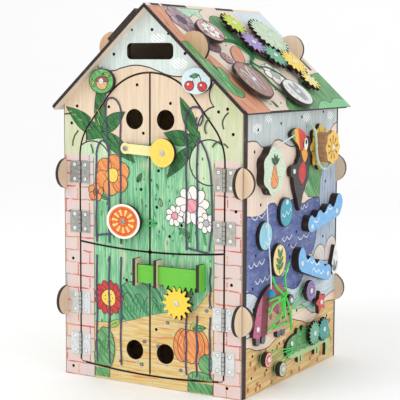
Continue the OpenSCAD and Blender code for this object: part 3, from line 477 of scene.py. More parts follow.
def burnt(mat):
    """Scorched laser-cut ply edges: plies, soot and paler spots."""
    n = noise3(mat.p, 260, 3)
    return mixc(mixc((30, 21, 19), (62, 44, 37), ramp(n, 0.3, 0.75)), (98, 70, 56), ramp(noise3(mat.p, 55, 2), 0.62, 0.8))


def finish_ply(mat, face, axis, inner=None, gr=None, rough=(0.42, 0.6), two=False):
    """A printed face along axis, a plain face behind it and burnt edges between them."""
    k = mat.facing(axis)
    if two:
        k = fabs(k)
    top = ramp(k, 0.6, 0.8)
    edge = burnt(mat)
    c = edge
    if inner is not None:
        c = mixc(c, inner, ramp(-k, 0.6, 0.8))
    c = mixc(c, face, top)
    mat.color(c)
    n = gr if gr is not None else noise3(mat.p, 300, 2)
    fine = noise3(mat.p, 900, 2)
    mat.rough(op("MULTIPLY_ADD", n, rough[1] - rough[0], op("MULTIPLY_ADD", fine, 0.08, rough[0] - 0.04)))
    mat.bump(op("MULTIPLY_ADD", n, 0.7, fine * 0.3), 0.12, 0.0003)
    mat.b.inputs["Specular IOR Level"].default_value = 0.35


def bare(mat, u, v, a=WOOD, b=(216, 190, 160)):
    g = grain(u, v)
    return mixc(a, b, ramp(g, 0.38, 0.68)), g


def bricks(u, v, rows=18.8, length=42.0, wob=None):
    """Hand-drawn brick lines, 1 on a line; and a colour that changes along them."""
    if wob is not None:
        v = v + wob
    row = op("FLOOR", v / rows)
    dv = fabs(fmod(v, rows) - rows / 2) - rows / 2
    du = fabs(fmod(u + fmod(row, 2.0) * (length / 2), length) - length / 2) - length / 2
    gap = noise(u, v, 0.09, 0.3, 1.0, 0.5, 5.0)
    a = inside(1.0 + dv, 0.7)
    b = inside(0.9 + du, 0.7)
    ln = clip(fmax(a, b) * ramp(gap, 0.36, 0.42))
    tint = noise(u, row, 0.016, 3.7, 0.0, 0.5, 2.0)
    return ln, tint


def brick_print(u, v, base, strokes):
    wob = (noise(u, v, 0.05, 0.05, 1.0, 0.5, 9.0) - 0.5) * 5.0
    ln, tint = bricks(u, v, wob=wob)
    lc = mixc(mixc((206, 84, 82), (222, 146, 96), ramp(tint, 0.42, 0.47)), (140, 158, 168), ramp(tint, 0.53, 0.57))
    ground = mixc(base, (220, 198, 198), ramp(strokes, 0.42, 0.62))
    return mixc(ground, lc, ln)


def clouds(c, u, v, spots):
    """White scribbled clouds: a coil of strokes inside each spot."""
    wob = (noise(u, v, 0.08, 0.08, 2.0, 0.6, 1.0) - 0.5) * 9.0
    for cu, cv, r in spots:
        d = disc(u, v, cu, cv, r, 1.9) + wob * 0.5
        coil = fsin((u + v * 1.4 + wob) * 0.95)
        c = mixc(c, (246, 248, 248), inside(d, 1.5) * ramp(coil, -0.2, 0.4))
    return c


FRONT_DOTS = ((3.5, 509), (-61, 475), (57.5, 476), (-126, 400), (-136, 375), (125, 401), (111, 397), (134, 367), (-135, 175), (133, 160), (-136, 12), (127, 14), (-139, 245), (139, 262),
              (-21.5, 432), (-11, 364), (-15, 284), (-70, 400), (-90, 270), (34, 407), (11.5, 260), (52.5, 237), (33, 220), (14.5, 312), (-70, 180), (-40, 151), (-15, 109), (-90, 60), (10.7, 84), (95, 70), (90, 150))
RIGHT_DOTS = ((-113, 372), (-43, 378), (25, 385), (-123, 342), (-103, 267), (111, 283), (11, 216), (-13, 199), (-117, 197), (105, 198), (106, 172), (-125, 152), (-122, 122), (-10, 181), (16, 97), (124, 70), (-124, 56), (-81, 27), (-126, 25), (-41, 58), (-63, 51), (100, 390), (60, 285))


def scorched(c, u, v, dots):
    """A dark burnt rim round each small drilled hole."""
    d = None
    for a, b in dots:
        k = disc(u, v, a, b, 2.35)
        d = k if d is None else fmax(d, k)
    return mixc(c, (30, 24, 22), inside(d, 0.35))


def front_print(mat, x, z):
    wood, g = bare(mat, x, z)
    sv = noise(x, z, 0.75, 0.035, 2.0, 0.6, 1.5)
    sv2 = noise(x, z, 0.33, 0.022, 2.0, 0.6, 4.5)
    sh = noise(x, z, 0.03, 0.55, 2.0, 0.6, 2.5)
    wob = (noise(x, z, 0.035, 0.035, 2.0, 0.5, 8.0) - 0.5) * 16.0
    c = wood
    # sky over the hill
    hill = z - along(x, ((-112, 482), (-96, 466), (-82, 453.5), (-65, 451.4), (-47, 455.8), (-24, 459.5), (-5, 457.3), (11.5, 452.2), (37, 444.9), (50, 444.2), (66, 447.6), (80, 451.8), (112, 462)))
    sky = mixc((198, 213, 210), (224, 231, 226), ramp(sv, 0.36, 0.66))
    sky = clouds(sky, x, z, ((-52, 505, 16), (14, 497, 13), (48, 462, 14)))
    c = mixc(c, sky, inside(hill))
    c = mixc(c, INK, line(hill, 1.8))
    # pale trees at both sides
    wt = wob * 0.5
    tl = fmax(disc(x, z, -142, 356, 32.4), disc(x, z, -138, 330, 30)) + wt * 0.1
    crown = fmin(x - along(z, ((396, 107), (404, 103.5), (409, 99.5), (414, 97.6), (422, 96.8), (430, 99.4), (438, 106), (446, 116))), z - 400.0)
    tr = fmax(crown, disc(x, z, 112, 370.5, 34.5), disc(x, z, 112, 350, 38), disc(x, z, 138, 322, 34), fmin(x - 104.0, 408.0 - z)) + wt * 0.12
    tree = fmax(tl, tr)
    tc = mixc((213, 212, 184), (201, 206, 164), ramp(sv2, 0.4, 0.6))
    tc = mixc(tc, (184, 206, 158), ramp(sv, 0.56, 0.7) * 0.6)
    c = mixc(c, tc, inside(tree))
    c = mixc(c, INK, line(tree, 2.2) * inside(z - 320.0, 6.0))
    # green garden behind the doors
    side = fmin(x + wob * 0.12 + 97.0, 105.0 - x - wob * 0.12)
    garden = fmin(350.0 - z + fsin(x * 0.05) * 7.0 + wob, side)
    gc = mixc((176, 217, 178), (110, 186, 134), ramp(sv, 0.36, 0.56))
    gc = mixc(gc, (66, 152, 102), ramp(sv2, 0.54, 0.68) * 0.85)
    gc = mixc(gc, (208, 228, 192), ramp(fabs(x), 46.0, 78.0) * ramp(z, 262.0, 318.0) * ramp(sv, 0.66, 0.5))
    gc = mixc(gc, (240, 226, 196), ramp(noise(x, z, 0.05, 0.02, 2.0, 0.5, 12.0), 0.58, 0.74) * 0.35)
    c = mixc(c, gc, inside(garden, 3.0))
    lobe = fmax(disc(x, z, -99, 318, 32), fmin(fmin(-67.0 - x, 318.0 - z), z - 264.0), disc(x, z, 97, 327, 31.5))
    c = mixc(c, mixc((206, 222, 188), (170, 206, 160), ramp(sv, 0.42, 0.66)), inside(fmin(lobe, 119.0 - fabs(x))))
    c = mixc(c, INK, line(lobe, 2.0) * inside(fmin(z - 292.0, 119.0 - fabs(x)), 4.0))
    # dark short dashes over the garden
    dash = voronoi(x, z, 0.085, 0.05, 3.0)
    c = mixc(c, (34, 96, 66), inside(0.13 - dash, 0.05) * inside(garden, 3.0) * 0.9)
    # brick strips at both sides
    c = mixc(c, brick_print(x, z, (222, 202, 191), sv), inside(fmin(-1.0 * side, 330.0 - z + wob * 0.6), 1.2))
    c = mixc(c, (120, 84, 84), line(side, 1.2) * inside(326.0 - z, 4.0))
    # sand path
    sand = fmin(along(x, ((-97, 84), (-52, 88), (26, 110), (60, 113), (72, 118), (88, 134), (97, 148))) + wob * 0.2 - z, side)
    sc = mixc((223, 206, 154), (216, 178, 104), ramp(sh, 0.40, 0.60))
    sc = mixc(sc, (214, 142, 78), ramp(noise(x, z, 0.02, 0.30, 1.0, 0.5, 6.0), 0.60, 0.66))
    peb = voronoi(x, z, 0.07, 0.09, 5.0)
    sc = mixc(sc, (120, 158, 196), inside(0.10 - peb, 0.05))
    c = mixc(c, sc, inside(sand, 1.0))
    c = mixc(c, (96, 70, 48), line(sand, 1.0) * 0.8)
    ax = fabs(x)
    burn = fmax(line(ax - 121.5, 2.9) * inside(fmin(326.0 - z, z - 24.0)),
                line(op("SQRT", (ax - 43.5) * (ax - 43.5) + (z - 326.0) * (z - 326.0)) - 78.0, 2.9) * inside(fmin(fmin(z - 326.0, 375.0 - z), ax - 100.0)),
                line(ax * 0.7782 + z * 0.6280 - 316.57, 2.9) * inside(fmin(z - 375.0, 415.0 - z)),
                line(op("SQRT", x * x + (z - 357.0) * (z - 357.0)) - 92.4, 2.9) * inside(z - 415.0),
                line(x, 2.9) * inside(fmin(z - 18.0, 449.0 - z)),
                line(z - 195.0 - x * x / (2.0 * SAG), 2.9) * inside(121.5 - ax),
                line(z - SILL - x * x / (2.0 * SAG), 2.9) * inside(113.0 - ax))
    rimz = fmin(fabs(z - 111.0), fabs(z - 301.0)) - 22.0
    burn = fmax(burn, inside(ax - 148.7, 0.4) * inside(rimz))
    c = mixc(c, (46, 34, 32), clip(burn))
    c = scorched(c, x, z, FRONT_DOTS)
    return shade(c, op("MULTIPLY_ADD", g, -0.16, 1.08)), wood, g


def right_print(mat, y, z):
    wood, g = bare(mat, y, z)
    sv = noise(y, z, 0.6, 0.03, 2.0, 0.6, 1.5)
    sh = noise(y, z, 0.03, 0.5, 2.0, 0.6, 2.5)
    sl = noise(y, z - y * 0.10, 0.022, 0.42, 2.0, 0.6, 5.5)
    c = mixc((238, 219, 204), (228, 204, 184), ramp(sv, 0.4, 0.62))
    # sky over the hills
    hill = z - along(y, ((-155, 356), (-140, 357), (-125, 357), (-106, 350), (-97, 347), (-72, 349), (-59, 355), (-50, 355), (-40, 353), (-21, 346), (-4, 343), (8, 344), (60, 347), (110, 353), (127, 361), (140, 369), (155, 374)))
    sky = mixc((175, 188, 189), (203, 211, 210), ramp(sv, 0.38, 0.64))
    sky = clouds(sky, y, z, ((-116, 374, 13), (-82, 386, 11), (42, 384, 13), (126, 384, 12)))
    c = mixc(c, sky, inside(hill))
    c = mixc(c, INK, line(hill, 1.7))
    # pale shore, stream and sea
    pale = mixc((212, 221, 226), (176, 194, 210), ramp(sl, 0.40, 0.62))
    c = mixc(c, pale, inside(188.0 - z))
    bound = along(z, ((128, 20), (144, 36), (157, 44), (175, 62), (190, 76), (206, 81), (240, 91), (256, 91), (278, 92), (303, 99), (335, 106)))
    stream = fmin(y - bound, fmin(336.0 - z, z - 160.0))
    c = mixc(c, mixc((183, 195, 206), (120, 141, 172), ramp(sv, 0.46, 0.66)), inside(stream))
    c = mixc(c, INK, line(y - bound, 1.3) * inside(fmin(330.0 - z, z - 190.0)))
    top = along(y, ((-155, 255), (-139, 254), (-124, 252), (-110, 252), (-91, 256), (-80, 264), (-68, 266), (-56, 263), (-46, 258), (-20, 262), (2, 265), (34, 256), (47, 259), (77, 261), (91, 257))) - z
    low = z - along(y, ((-155, 148), (-141, 148), (-130, 146), (-121, 143), (-109, 137), (-80, 132), (-43, 140), (-30, 140), (-12, 136), (1, 132), (14, 132), (27, 138), (34, 144), (42, 157), (52, 172), (60, 176)))
    sea = fmin(fmin(top, low), bound - y)
    se = mixc((112, 125, 172), (82, 96, 150), ramp(noise(y, z, 0.07, 0.16, 3.0, 0.6, 2.5), 0.38, 0.62))
    se = mixc(se, (62, 74, 132), ramp(noise(y, z, 0.02, 0.02, 2.0, 0.5, 9.0), 0.52, 0.68) * 0.6)
    se = mixc(se, (220, 227, 241), inside(0.10 - voronoi(y, z, 0.10, 0.11, 2.0), 0.04) * 0.85)
    se = mixc(se, (168, 180, 214), inside(0.16 - voronoi(y, z, 0.19, 0.21, 7.0), 0.06) * ramp(z, 176.0, 214.0) * 0.8)
    c = mixc(c, se, inside(sea))
    c = mixc(c, (36, 40, 70), line(sea, 1.4))
    # cream bank and sand
    bank = along(y, ((-155, 84), (-110, 86), (-60, 96), (0, 104), (28, 103), (44, 97), (60, 89), (82, 83), (95, 86), (109, 96), (126, 103), (155, 107))) - z
    c = mixc(c, mixc((238, 217, 200), (230, 204, 180), ramp(sl, 0.40, 0.62)), inside(bank))
    c = mixc(c, INK, line(bank, 1.4))
    sand = along(y, ((-155, 71), (-140, 70), (-108, 61), (-84, 59), (-61, 64), (-51, 68), (-25, 78), (0, 86), (13, 83), (39, 76), (61, 70), (74, 71), (88, 78), (107, 89), (121, 93), (138, 92), (155, 90))) - z
    sd = mixc((222, 191, 134), (201, 160, 94), ramp(sl, 0.40, 0.60))
    sd = mixc(sd, (231, 209, 163), ramp(noise(y, z - y * 0.10, 0.02, 0.3, 1.0, 0.5, 15.0), 0.58, 0.68))
    c = mixc(c, sd, inside(sand))
    c = mixc(c, INK, line(sand, 1.4))
    # dark strip over the wall's front 12 mm, beside the front panel
    c = mixc(c, (58, 40, 36), inside(-143.0 - y, 1.0))
    c = scorched(c, y, z, RIGHT_DOTS)
    return shade(c, op("MULTIPLY_ADD", g, -0.16, 1.08)), wood, g


def garden_print(mat, u, v, shift):
    """Plain wall print for the faces the photo does not show: sky, hills, grass and bricks."""
    wood, g = bare(mat, u, v)
    sv = noise(u, v, 0.7, 0.035, 2.0, 0.6, 1.5 + shift)
    sh = noise(u, v, 0.03, 0.5, 2.0, 0.6, 2.5 + shift)
    wob = (noise(u, v, 0.03, 0.03, 2.0, 0.5, 8.0 + shift) - 0.5) * 22.0
    c = wood
    hill = v - (322.0 + fsin(u * 0.03 + shift) * 18.0) + wob * 0.4
    sky = mixc((190, 212, 222), (222, 232, 232), ramp(sv, 0.38, 0.64))
    sky = clouds(sky, u, v, ((-96, 372, 16), (-18, 380, 14), (76, 366, 17), (6, 462, 15), (-40, 430, 13), (52, 424, 12)))
    c = mixc(c, sky, inside(hill))
    c = mixc(c, INK, line(hill, 1.4))
    grass = 268.0 + fsin(u * 0.036 + 2.0 + shift) * 16.0 + wob * 0.5 - v
    gc = mixc((204, 226, 190), (108, 184, 126), ramp(sv, 0.40, 0.58))
    c = mixc(c, gc, inside(grass))
    c = mixc(c, (60, 90, 64), line(grass, 1.4))
    dash = voronoi(u, v, 0.07, 0.045, 3.0 + shift)
    c = mixc(c, (38, 104, 70), inside(0.13 - dash, 0.05) * inside(grass))
    wall = 118.0 + wob * 0.25 - v
    c = mixc(c, brick_print(u, v, (240, 220, 206), sv), inside(wall))
    c = mixc(c, (120, 84, 84), line(wall, 1.4))
    return shade(c, op("MULTIPLY_ADD", g, -0.16, 1.08)), wood, g


def roof_print(mat, d, y, left=False):
    wood, g = bare(mat, y, d, (232, 219, 203), (220, 200, 179))
    sy = noise(d, y, 0.03, 0.5, 2.0, 0.6, 1.5)
    sd = noise(d, y, 0.5, 0.03, 2.0, 0.6, 5.5)
    wob = (noise(d, y, 0.03, 0.03, 2.0, 0.5, 8.0 + left) - 0.5) * 24.0
    c = wood
    yy = y * -1.0
    if left:
        # sky at the top rear, mint at the top front
        sky = fmin(yy - 30.0 + wob + d * 0.3, 96.0 - d + wob)
        c = mixc(c, mixc((190, 214, 226), (220, 232, 236), ramp(sd, 0.4, 0.62)), inside(sky))
        c = mixc(c, (92, 110, 124), line(sky, 1.2) * 0.8)
        mint = fmin(-86.0 - yy + wob, 70.0 - d + wob)
        c = mixc(c, mixc((206, 230, 212), (158, 208, 176), ramp(sd, 0.4, 0.6)), inside(mint))
        # terracotta band near the front edge
        terra = fmin(-116.0 - yy + d * 0.12 + wob * 0.5, d - 40.0 + wob)
        c = mixc(c, mixc((226, 172, 140), (206, 128, 96), ramp(sy, 0.4, 0.62)), inside(terra))
        c = mixc(c, (110, 62, 48), line(terra, 1.2))
        # rows of scribbles
        row = line(fmod(d + fsin(y * 0.45) * 2.2 + wob * 0.3, 24.0) - 12.0, 1.2) * ramp(noise(d, y, 0.05, 0.045, 0.0, 0.5, 4.0), 0.52, 0.55)
        c = mixc(c, (176, 112, 84), clip(row) * inside(-terra))
        # bushes along the lower edge
        b = fmax(disc(d, yy, 232, -140, 44), disc(d, yy, 228, -40, 36), disc(d, yy, 236, 60, 52), disc(d, yy, 228, 130, 50), disc(d, yy, 196, 156, 40)) + wob * 0.5
        bush = mixc((152, 202, 148), (52, 138, 82), ramp(sd, 0.40, 0.58))
        c = mixc(c, bush, inside(b))
        c = mixc(c, (30, 78, 52), line(b, 1.4))
    return shade(c, op("MULTIPLY_ADD", g, -0.16, 1.08)), wood, g


def set_mat(mat, *names):
    for n in names:
        o = NODES[n]
        o.data.materials.clear()
        o.data.materials.append(mat.m)


def panel(name, art, axis, nodes, coords):
    mat = Mat(name)
    c, wood, g = art(mat, *coords(mat))
    finish_ply(mat, c, axis, inner=wood, gr=g)
    set_mat(mat, *nodes)
    return mat


# ------------------------------------------------------------------ printed panels
# the front wall and the doors share one print
def ears(mat, c, wood, half):
    """Tab discs outside the wall's own outline stay bare."""
    return mixc(c, wood, inside(fabs(half[0]) - half[1], 0.3))


mat = Mat("front_print")
c, wood, g = front_print(mat, mat.x, mat.z)
c = ears(mat, c, wood, (mat.x, 149.6))
finish_ply(mat, c, FRONT, inner=wood, gr=g)
set_mat(mat, "front_wall", "door_upper_left", "door_upper_right", "door_lower_left", "door_lower_right")

mat = Mat("right_print")
c, wood, g = right_print(mat, mat.y, mat.z)
c = ears(mat, c, wood, (mat.y, 156.0))
finish_ply(mat, c, RIGHT, inner=wood, gr=g)
set_mat(mat, "right_wall")

mat = Mat("left_print")
c, wood, g = garden_print(mat, mat.y, mat.z, 11.0)
c = ears(mat, c, wood, (mat.y, 156.0))
finish_ply(mat, c, LEFT, inner=wood, gr=g)
set_mat(mat, "left_wall")

mat = Mat("back_print")
c, wood, g = garden_print(mat, mat.x, mat.z, 23.0)
c = ears(mat, c, wood, (mat.x, 149.6))
c = mixc(c, wood, inside(fabs(mat.x) * SN + (mat.z - RIDGE) * CS + 4.0, 0.3))
finish_ply(mat, c, BACK, inner=wood, gr=g)
set_mat(mat, "back_wall")

for nm, sgn, axis, node in (("roof_print", 1.0, ROOF_R, "roof_right"), ("roof_print_left", -1.0, ROOF_L, "roof_left")):
    mat = Mat(nm)
    d = mat.x * (CS * sgn) + (RIDGE - mat.z) * SN
    c, wood, g = roof_print(mat, d, mat.y, sgn < 0)
    finish_ply(mat, c, axis, inner=wood, gr=g)
    set_mat(mat, node)

mat = Mat("bare_ply")
wood, g = bare(mat, mat.x, mat.y)
finish_ply(mat, wood, (0, 0, 1), inner=wood, gr=g)
set_mat(mat, "floor_panel")

mat = Mat("bare_ply_frame")
wood, g = bare(mat, mat.x, mat.z, (214, 182, 148), (190, 152, 118))
finish_ply(mat, wood, FRONT, inner=wood, gr=g)
set_mat(mat, "front_inner_frame")

# ------------------------------------------------------------------ painted pieces
def coords(mat, plane):
    """Two coordinates in the plane of the face and the height off it, in mm."""
    if plane == "front":
        return mat.x, mat.z, -155.0 - mat.y
    if plane == "right":
        return mat.y, mat.z, mat.x - 150.0
    s = -1.0 if plane == "roof_left" else 1.0
    d = mat.x * (CS * s) + (RIDGE - mat.z) * SN
    h = mat.x * (SN * s) - (RIDGE - mat.z) * CS
    return d, mat.y, h


AXES = {"front": FRONT, "right": RIGHT, "roof": ROOF_R, "roof_left": ROOF_L}


def strokes(u, v, a, b, angle=0.5, w=0.0):
    """Crayon strokes of two tones that run at an angle."""
    ca, sa = math.cos(angle), math.sin(angle)
    n = noise(u * ca + v * sa, v * ca - u * sa, 0.9, 0.06, 2.0, 0.6, w)
    return mixc(a, b, ramp(n, 0.38, 0.62))


def piece(node, plane, art, rough=(0.36, 0.52), axis=None, inner=None):
    mat = Mat(node + "_paint")
    u, v, w = coords(mat, plane)
    c = art(mat, u, v, w)
    g = noise(u, v, 0.8, 0.05, 2.0, 0.6, 3.0)
    finish_ply(mat, c, axis or AXES[plane], gr=g, rough=rough, inner=inner)
    set_mat(mat, node)
    return mat


def polar(u, v, cu, cv):
    du, dv = u - cu, v - cv
    return op("SQRT", du * du + dv * dv), op("ARCTAN2", dv, du)


def rim(c, d, width=1.3, col=INK):
    return mixc(c, col, inside(width - d, 0.5))


def flat(a, b, angle=0.4):
    return lambda mat, u, v, w: strokes(u, v, a, b, angle)


def steel_parts(mat, w, level):
    """Bare steel above a height, for a screw that is part of a painted node."""
    put(mat.b.inputs["Metallic"], inside(w - level, 0.1))


def latch_art(mat, u, v, w):
    c = mixc(strokes(u, v, (244, 234, 172), (238, 224, 150), 0.0), strokes(u, v, (252, 216, 104), (248, 206, 84), 1.0), inside(w - 6.2, 0.2))
    return mixc(c, (200, 202, 204), inside(w - 11.85, 0.1))


mat = piece("latch_arm", "front", latch_art)
steel_parts(mat, coords(mat, "front")[2], 11.85)


def button_art(mat, u, v, w):
    r, a = polar(u, (v - 237.7) * 1.14 + 237.7, -38, 237.7)
    wob = (noise(u, v, 0.12, 0.12, 2.0, 0.5, 1.0) - 0.5) * 5.0
    c = strokes(u, v, (238, 120, 58), (226, 92, 38), 0.9)
    ray = fsin(a * 11.0 + wob * 0.3)
    c = mixc(c, (250, 214, 128), inside(fmin(r - 9.0 + wob * 0.5, 19.5 - r + wob * 0.4), 1.0) * ramp(ray, 0.15, 0.5))
    c = mixc(c, (96, 44, 28), line(r - 8.6 + wob * 0.2, 0.9) * 0.85)
    c = mixc(c, (96, 44, 28), line(r - 20.4 + wob * 0.2, 0.9) * 0.85)
    return mixc(c, (246, 240, 228), inside(r - 24.6 + wob * 0.15, 0.7))


piece("button_disc", "front", button_art)
mat = piece("bolt_bar", "front", flat((112, 198, 66), (100, 188, 58), 1.5))
old = mat.b.inputs["Base Color"].links[0].from_socket
lug = inside(mat.x - 86.45, 0.05)
lugc = mixc(burnt(mat), strokes(mat.y, mat.z, (112, 198, 66), (98, 184, 56), 0.3), ramp(fabs(mat.facing((1, 0, 0))), 0.6, 0.8))
mat.color(mixc(old, lugc, lug))
piece("pinion_gear", "front", flat((254, 216, 84), (248, 204, 62), 0.3))
for k in ("bolt_keeper_left", "bolt_keeper_right"):
    mat = Mat(k + "_ply")
    wood, g = bare(mat, mat.y, mat.z)
    finish_ply(mat, wood, (1, 0, 0), gr=g, two=True)
    set_mat(mat, k)


def gable_l(mat, u, v, w):
    c = strokes(u, v, (134, 196, 120), (60, 146, 78), 0.8)
    du, dv = (u + 79.0) / 21.5, (v - 436.6) / 18.0
    return mixc(c, (40, 60, 44), inside(op("SQRT", du * du + dv * dv) - 0.94, 0.03))


def gable_r(mat, u, v, w):
    return strokes(u, v, (222, 236, 236), (196, 220, 226), 1.4)


piece("gable_disc_left", "front", gable_l)
piece("gable_disc_right", "front", gable_r)


def within(u, v, pts):
    """Positive inside a convex outline given clockwise or anticlockwise."""
    area = sum(pts[i - 1][0] * pts[i][1] - pts[i][0] * pts[i - 1][1] for i in range(len(pts)))
    g = 1.0 if area > 0 else -1.0
    d = None
    for i in range(len(pts)):
        (au, av), (bu, bv) = pts[i - 1], pts[i]
        k = g / math.hypot(bu - au, bv - av)
        e = (v - av) * ((bu - au) * k) - (u - au) * ((bv - av) * k)
        d = e if d is None else fmin(d, e)
    return d


def bird_art(mat, u, v, w):
    c = strokes(u, v, (74, 70, 70), (40, 38, 40), 1.2)
    belly = within(u, v, ((15.4, 321), (5, 314), (1.5, 305), (5, 295), (13, 286), (20, 289), (25.5, 297), (27.5, 307), (23, 317)))
    c = mixc(c, strokes(u, v, (216, 66, 58), (178, 44, 46), 0.6), inside(belly))
    c = mixc(c, (28, 24, 26), line(belly, 1.0))
    throat = within(u, v, ((9, 341), (12, 331), (17, 322), (22.4, 318), (29, 323), (32, 329), (29.5, 335), (20, 340)))
    c = mixc(c, strokes(u, v, (244, 178, 92), (232, 146, 62), 0.6), inside(throat))
    beak = fmin(along(v, ((330, 16.6), (341, 16.4), (347, 16.2), (349.6, 18.6), (352.6, 24.6), (356, 27.4), (380, 28))) - u, v - 337.0)
    t = u + (v - 350.0) * 0.25
    bk = mixc(strokes(u, v, (120, 168, 92), (84, 138, 70), 0.2), strokes(u, v, (246, 186, 84), (236, 160, 60), 0.2), inside(t + 9.0, 1.0))
    bk = mixc(bk, strokes(u, v, (222, 84, 66), (200, 62, 54), 0.2), inside(t - 3.0, 1.0))
    c = mixc(c, bk, inside(beak, 0.6))
    c = mixc(c, (28, 24, 26), line(beak, 0.9))
    c = mixc(c, (244, 241, 232), inside(disc(u, v, 26, 345, 6.2, 0.69)))
    return mixc(c, (24, 22, 24), inside(disc(u, v, 26.4, 348.2, 3.0, 0.8)))


piece("bird_lever", "right", bird_art)


def tile_art(mat, u, v, w):
    c = strokes(u, v, (214, 228, 206), (192, 214, 186), 1.3)
    d = voronoi(u, v, 0.09, 0.06, 2.0)
    return mixc(c, (60, 110, 70), inside(0.09 - d, 0.04))


piece("guide_tile", "right", tile_art)


def drum_art(mat, u, v, w):
    r, a = polar(u, v, 77.5, 338)
    wob = (noise(u, v, 0.12, 0.12, 2.0, 0.5, 1.0) - 0.5) * 4.0
    petal = mixc(strokes(u, v, (240, 206, 84), (220, 172, 50), 0.6), (92, 66, 40), ramp(fsin(a * 8.0), 0.93, 0.99))
    cap = strokes(u, v, (240, 204, 96), (226, 178, 70), 0.2)
    cap = mixc(cap, (120, 80, 52), line(r - 7.0 + wob * 0.3, 1.0))
    cap = mixc(cap, (150, 98, 60), inside(fmin(r - 9.0, 18.0 - r), 1.0) * ramp(fsin(a * 9.0 + wob * 0.2), 0.25, 0.6))
    return mixc(petal, cap, inside(w - 15.0, 0.5))


mat = piece("rope_drum", "right", drum_art)
mat_u, mat_v, mat_w = coords(mat, "right")
core = fmin(mat_w - 6.05, 26.95 - mat_w)
old = mat.b.inputs["Base Color"].links[0].from_socket
plies = fsin(mat_w * 4.2)
side = mixc(mixc((206, 164, 124), (174, 132, 98), ramp(noise(mat_u, mat_v, 0.2, 0.2, 2.0, 0.6, 2.0), 0.35, 0.65)), (146, 108, 80), ramp(plies, 0.6, 0.95))
mat.color(mixc(old, side, inside(core, 0.1)))


def oval(cu, cv, a, b, base, hi, ink, waves=()):
    def art(mat, u, v, w):
        c = strokes(u, v, base, hi, 0.8)
        du, dv = (u - cu) / a, (v - cv) / b
        r = op("SQRT", du * du + dv * dv)
        if waves:
            wv = fabs(fsin((u - cu) * 0.26))
            for k in waves:
                d = v - (cv + k * b) + wv * 6.4 - 3.2 - (u - cu) * 0.22
                c = mixc(c, (244, 248, 250), line(d, 1.5) * inside(0.76 - r, 0.05))
        return mixc(c, ink, inside(r - 0.93, 0.03))
    return art


piece("oval_blue_left", "right", oval(-98, 223, 20.5, 21, (158, 212, 228), (132, 196, 218), (40, 60, 74), (-0.5,)))
piece("oval_blue_right", "right", oval(-34, 250, 20.5, 21.5, (84, 172, 190), (62, 152, 174), (30, 56, 66), (-0.05,)))
piece("oval_yellow", "right", oval(-54, 183, 21, 24, (240, 222, 150), (230, 204, 120), (70, 60, 40)))
piece("oval_white", "right", flat((240, 240, 236), (222, 226, 226), 0.8))


def wave_art(mat, u, v, w):
    c = strokes(u, v, (136, 192, 236), (104, 168, 222), 1.2)
    s = fabs(fsin(u * 0.19))
    for z0, k, a, b in ((229.0, 0.24, 47.0, 66.0), (232.0, 0.24, 84.0, 118.0), (163.0, -0.30, 26.0, 70.0), (152.0, -0.28, 44.0, 86.0)):
        d = v - z0 - (u - 60.0) * k + s * 5.6 - 2.8
        c = mixc(c, (240, 246, 250), line(d, 1.7) * inside(fmin(u - a, b - u), 0.6))
    return c


piece("wave_rails", "right", wave_art)


def board_art(mat, u, v, w):
    lean = (v - 84.0) * 0.10
    c = strokes(u, v, (206, 172, 142), (184, 148, 122), 1.35)
    c = mixc(c, strokes(u, v, (186, 104, 118), (160, 78, 96), 1.2), inside(v - 122.0 - (u + 60.0) * 0.1, 0.8))
    c = mixc(c, strokes(u, v, (198, 104, 138), (168, 74, 108), 1.25), inside(-111.0 - u + lean * 1.4, 1.0))
    c = mixc(c, strokes(u, v, (126, 44, 62), (100, 34, 50), 1.5), inside(9.4 - fabs(u + 102.0 - lean), 0.6))
    c = mixc(c, (36, 18, 24), line(u + 92.4 - lean, 2.4) * inside(136.0 - v))
    c = mixc(c, strokes(u, v, (118, 112, 124), (84, 78, 92), 0.2), inside(80.0 - v, 0.6))
    return c


piece("lacing_board", "right", board_art)


def shell_art(mat, u, v, w):
    r, a = polar(u, v, 38, 124.5)
    c = strokes(u, v, (160, 136, 184), (122, 98, 150), 0.7)
    return mixc(c, (66, 48, 84), line(fmod(r - a * 0.955, 6.0) - 3.0, 1.1) * inside(13.4 - r))


def star_art(mat, u, v, w):
    r, a = polar(u, v, 74, 101.2)
    c = strokes(u, v, (224, 92, 86), (196, 64, 64), 0.7)
    return mixc(c, (120, 30, 34), line(fmod(a - 1.8151 + 6.5974, 1.2566) - 0.3142, 0.08, 0.05) * inside(15.0 - r))


def log_art(mat, u, v, w):
    c = strokes(u, v, (112, 174, 108), (58, 128, 74), 1.45)
    c = mixc(c, (30, 74, 46), line(fmod(u + 24.0, 21.0) - 10.5, 1.2) * inside(v - 34.0, 2.0) * 0.8)
    return mixc(c, (188, 210, 150), inside(36.0 - v + fsin(u * 0.3) * 1.2, 1.0) * 0.8)


def gear_art(cu, cv, base, hi, rr, ring=None):
    def art(mat, u, v, w):
        r, a = polar(u, v, cu, cv)
        c = strokes(u, v, base, hi, 0.6 + cu)
        dark = tuple(int(x * 0.62) for x in base)
        c = mixc(c, dark, line(r - rr, 1.0) * 0.75)
        vein = fsin(a * 5.0 + r * 0.16)
        c = mixc(c, dark, ramp(vein, 0.965, 0.99) * inside(fmin(r - 4.0, rr - 2.0 - r), 1.0) * 0.8)
        return c
    return art


piece("shell_knob", "right", shell_art)
piece("star_knob", "right", star_art)
piece("log_plate", "right", log_art)
piece("log_gear_front", "right", gear_art(53, 56.7, (122, 188, 156), (96, 168, 140), 12.0))
piece("log_gear_rear", "right", gear_art(87, 56.7, (84, 170, 160), (58, 148, 144), 12.0))


def slice_art(cu, cv, flesh, hi, pith, rind):
    def art(mat, u, v, w):
        r, a = polar(u, v, cu, cv)
        c = strokes(u, v, flesh, hi, 0.4)
        c = mixc(c, pith, clip(fmax(line(fmod(a, 0.7854) - 0.3927, 0.12, 0.06), inside(r - 8.3, 0.5))))
        return mixc(c, rind, inside(r - 9.6, 0.5))
    return art


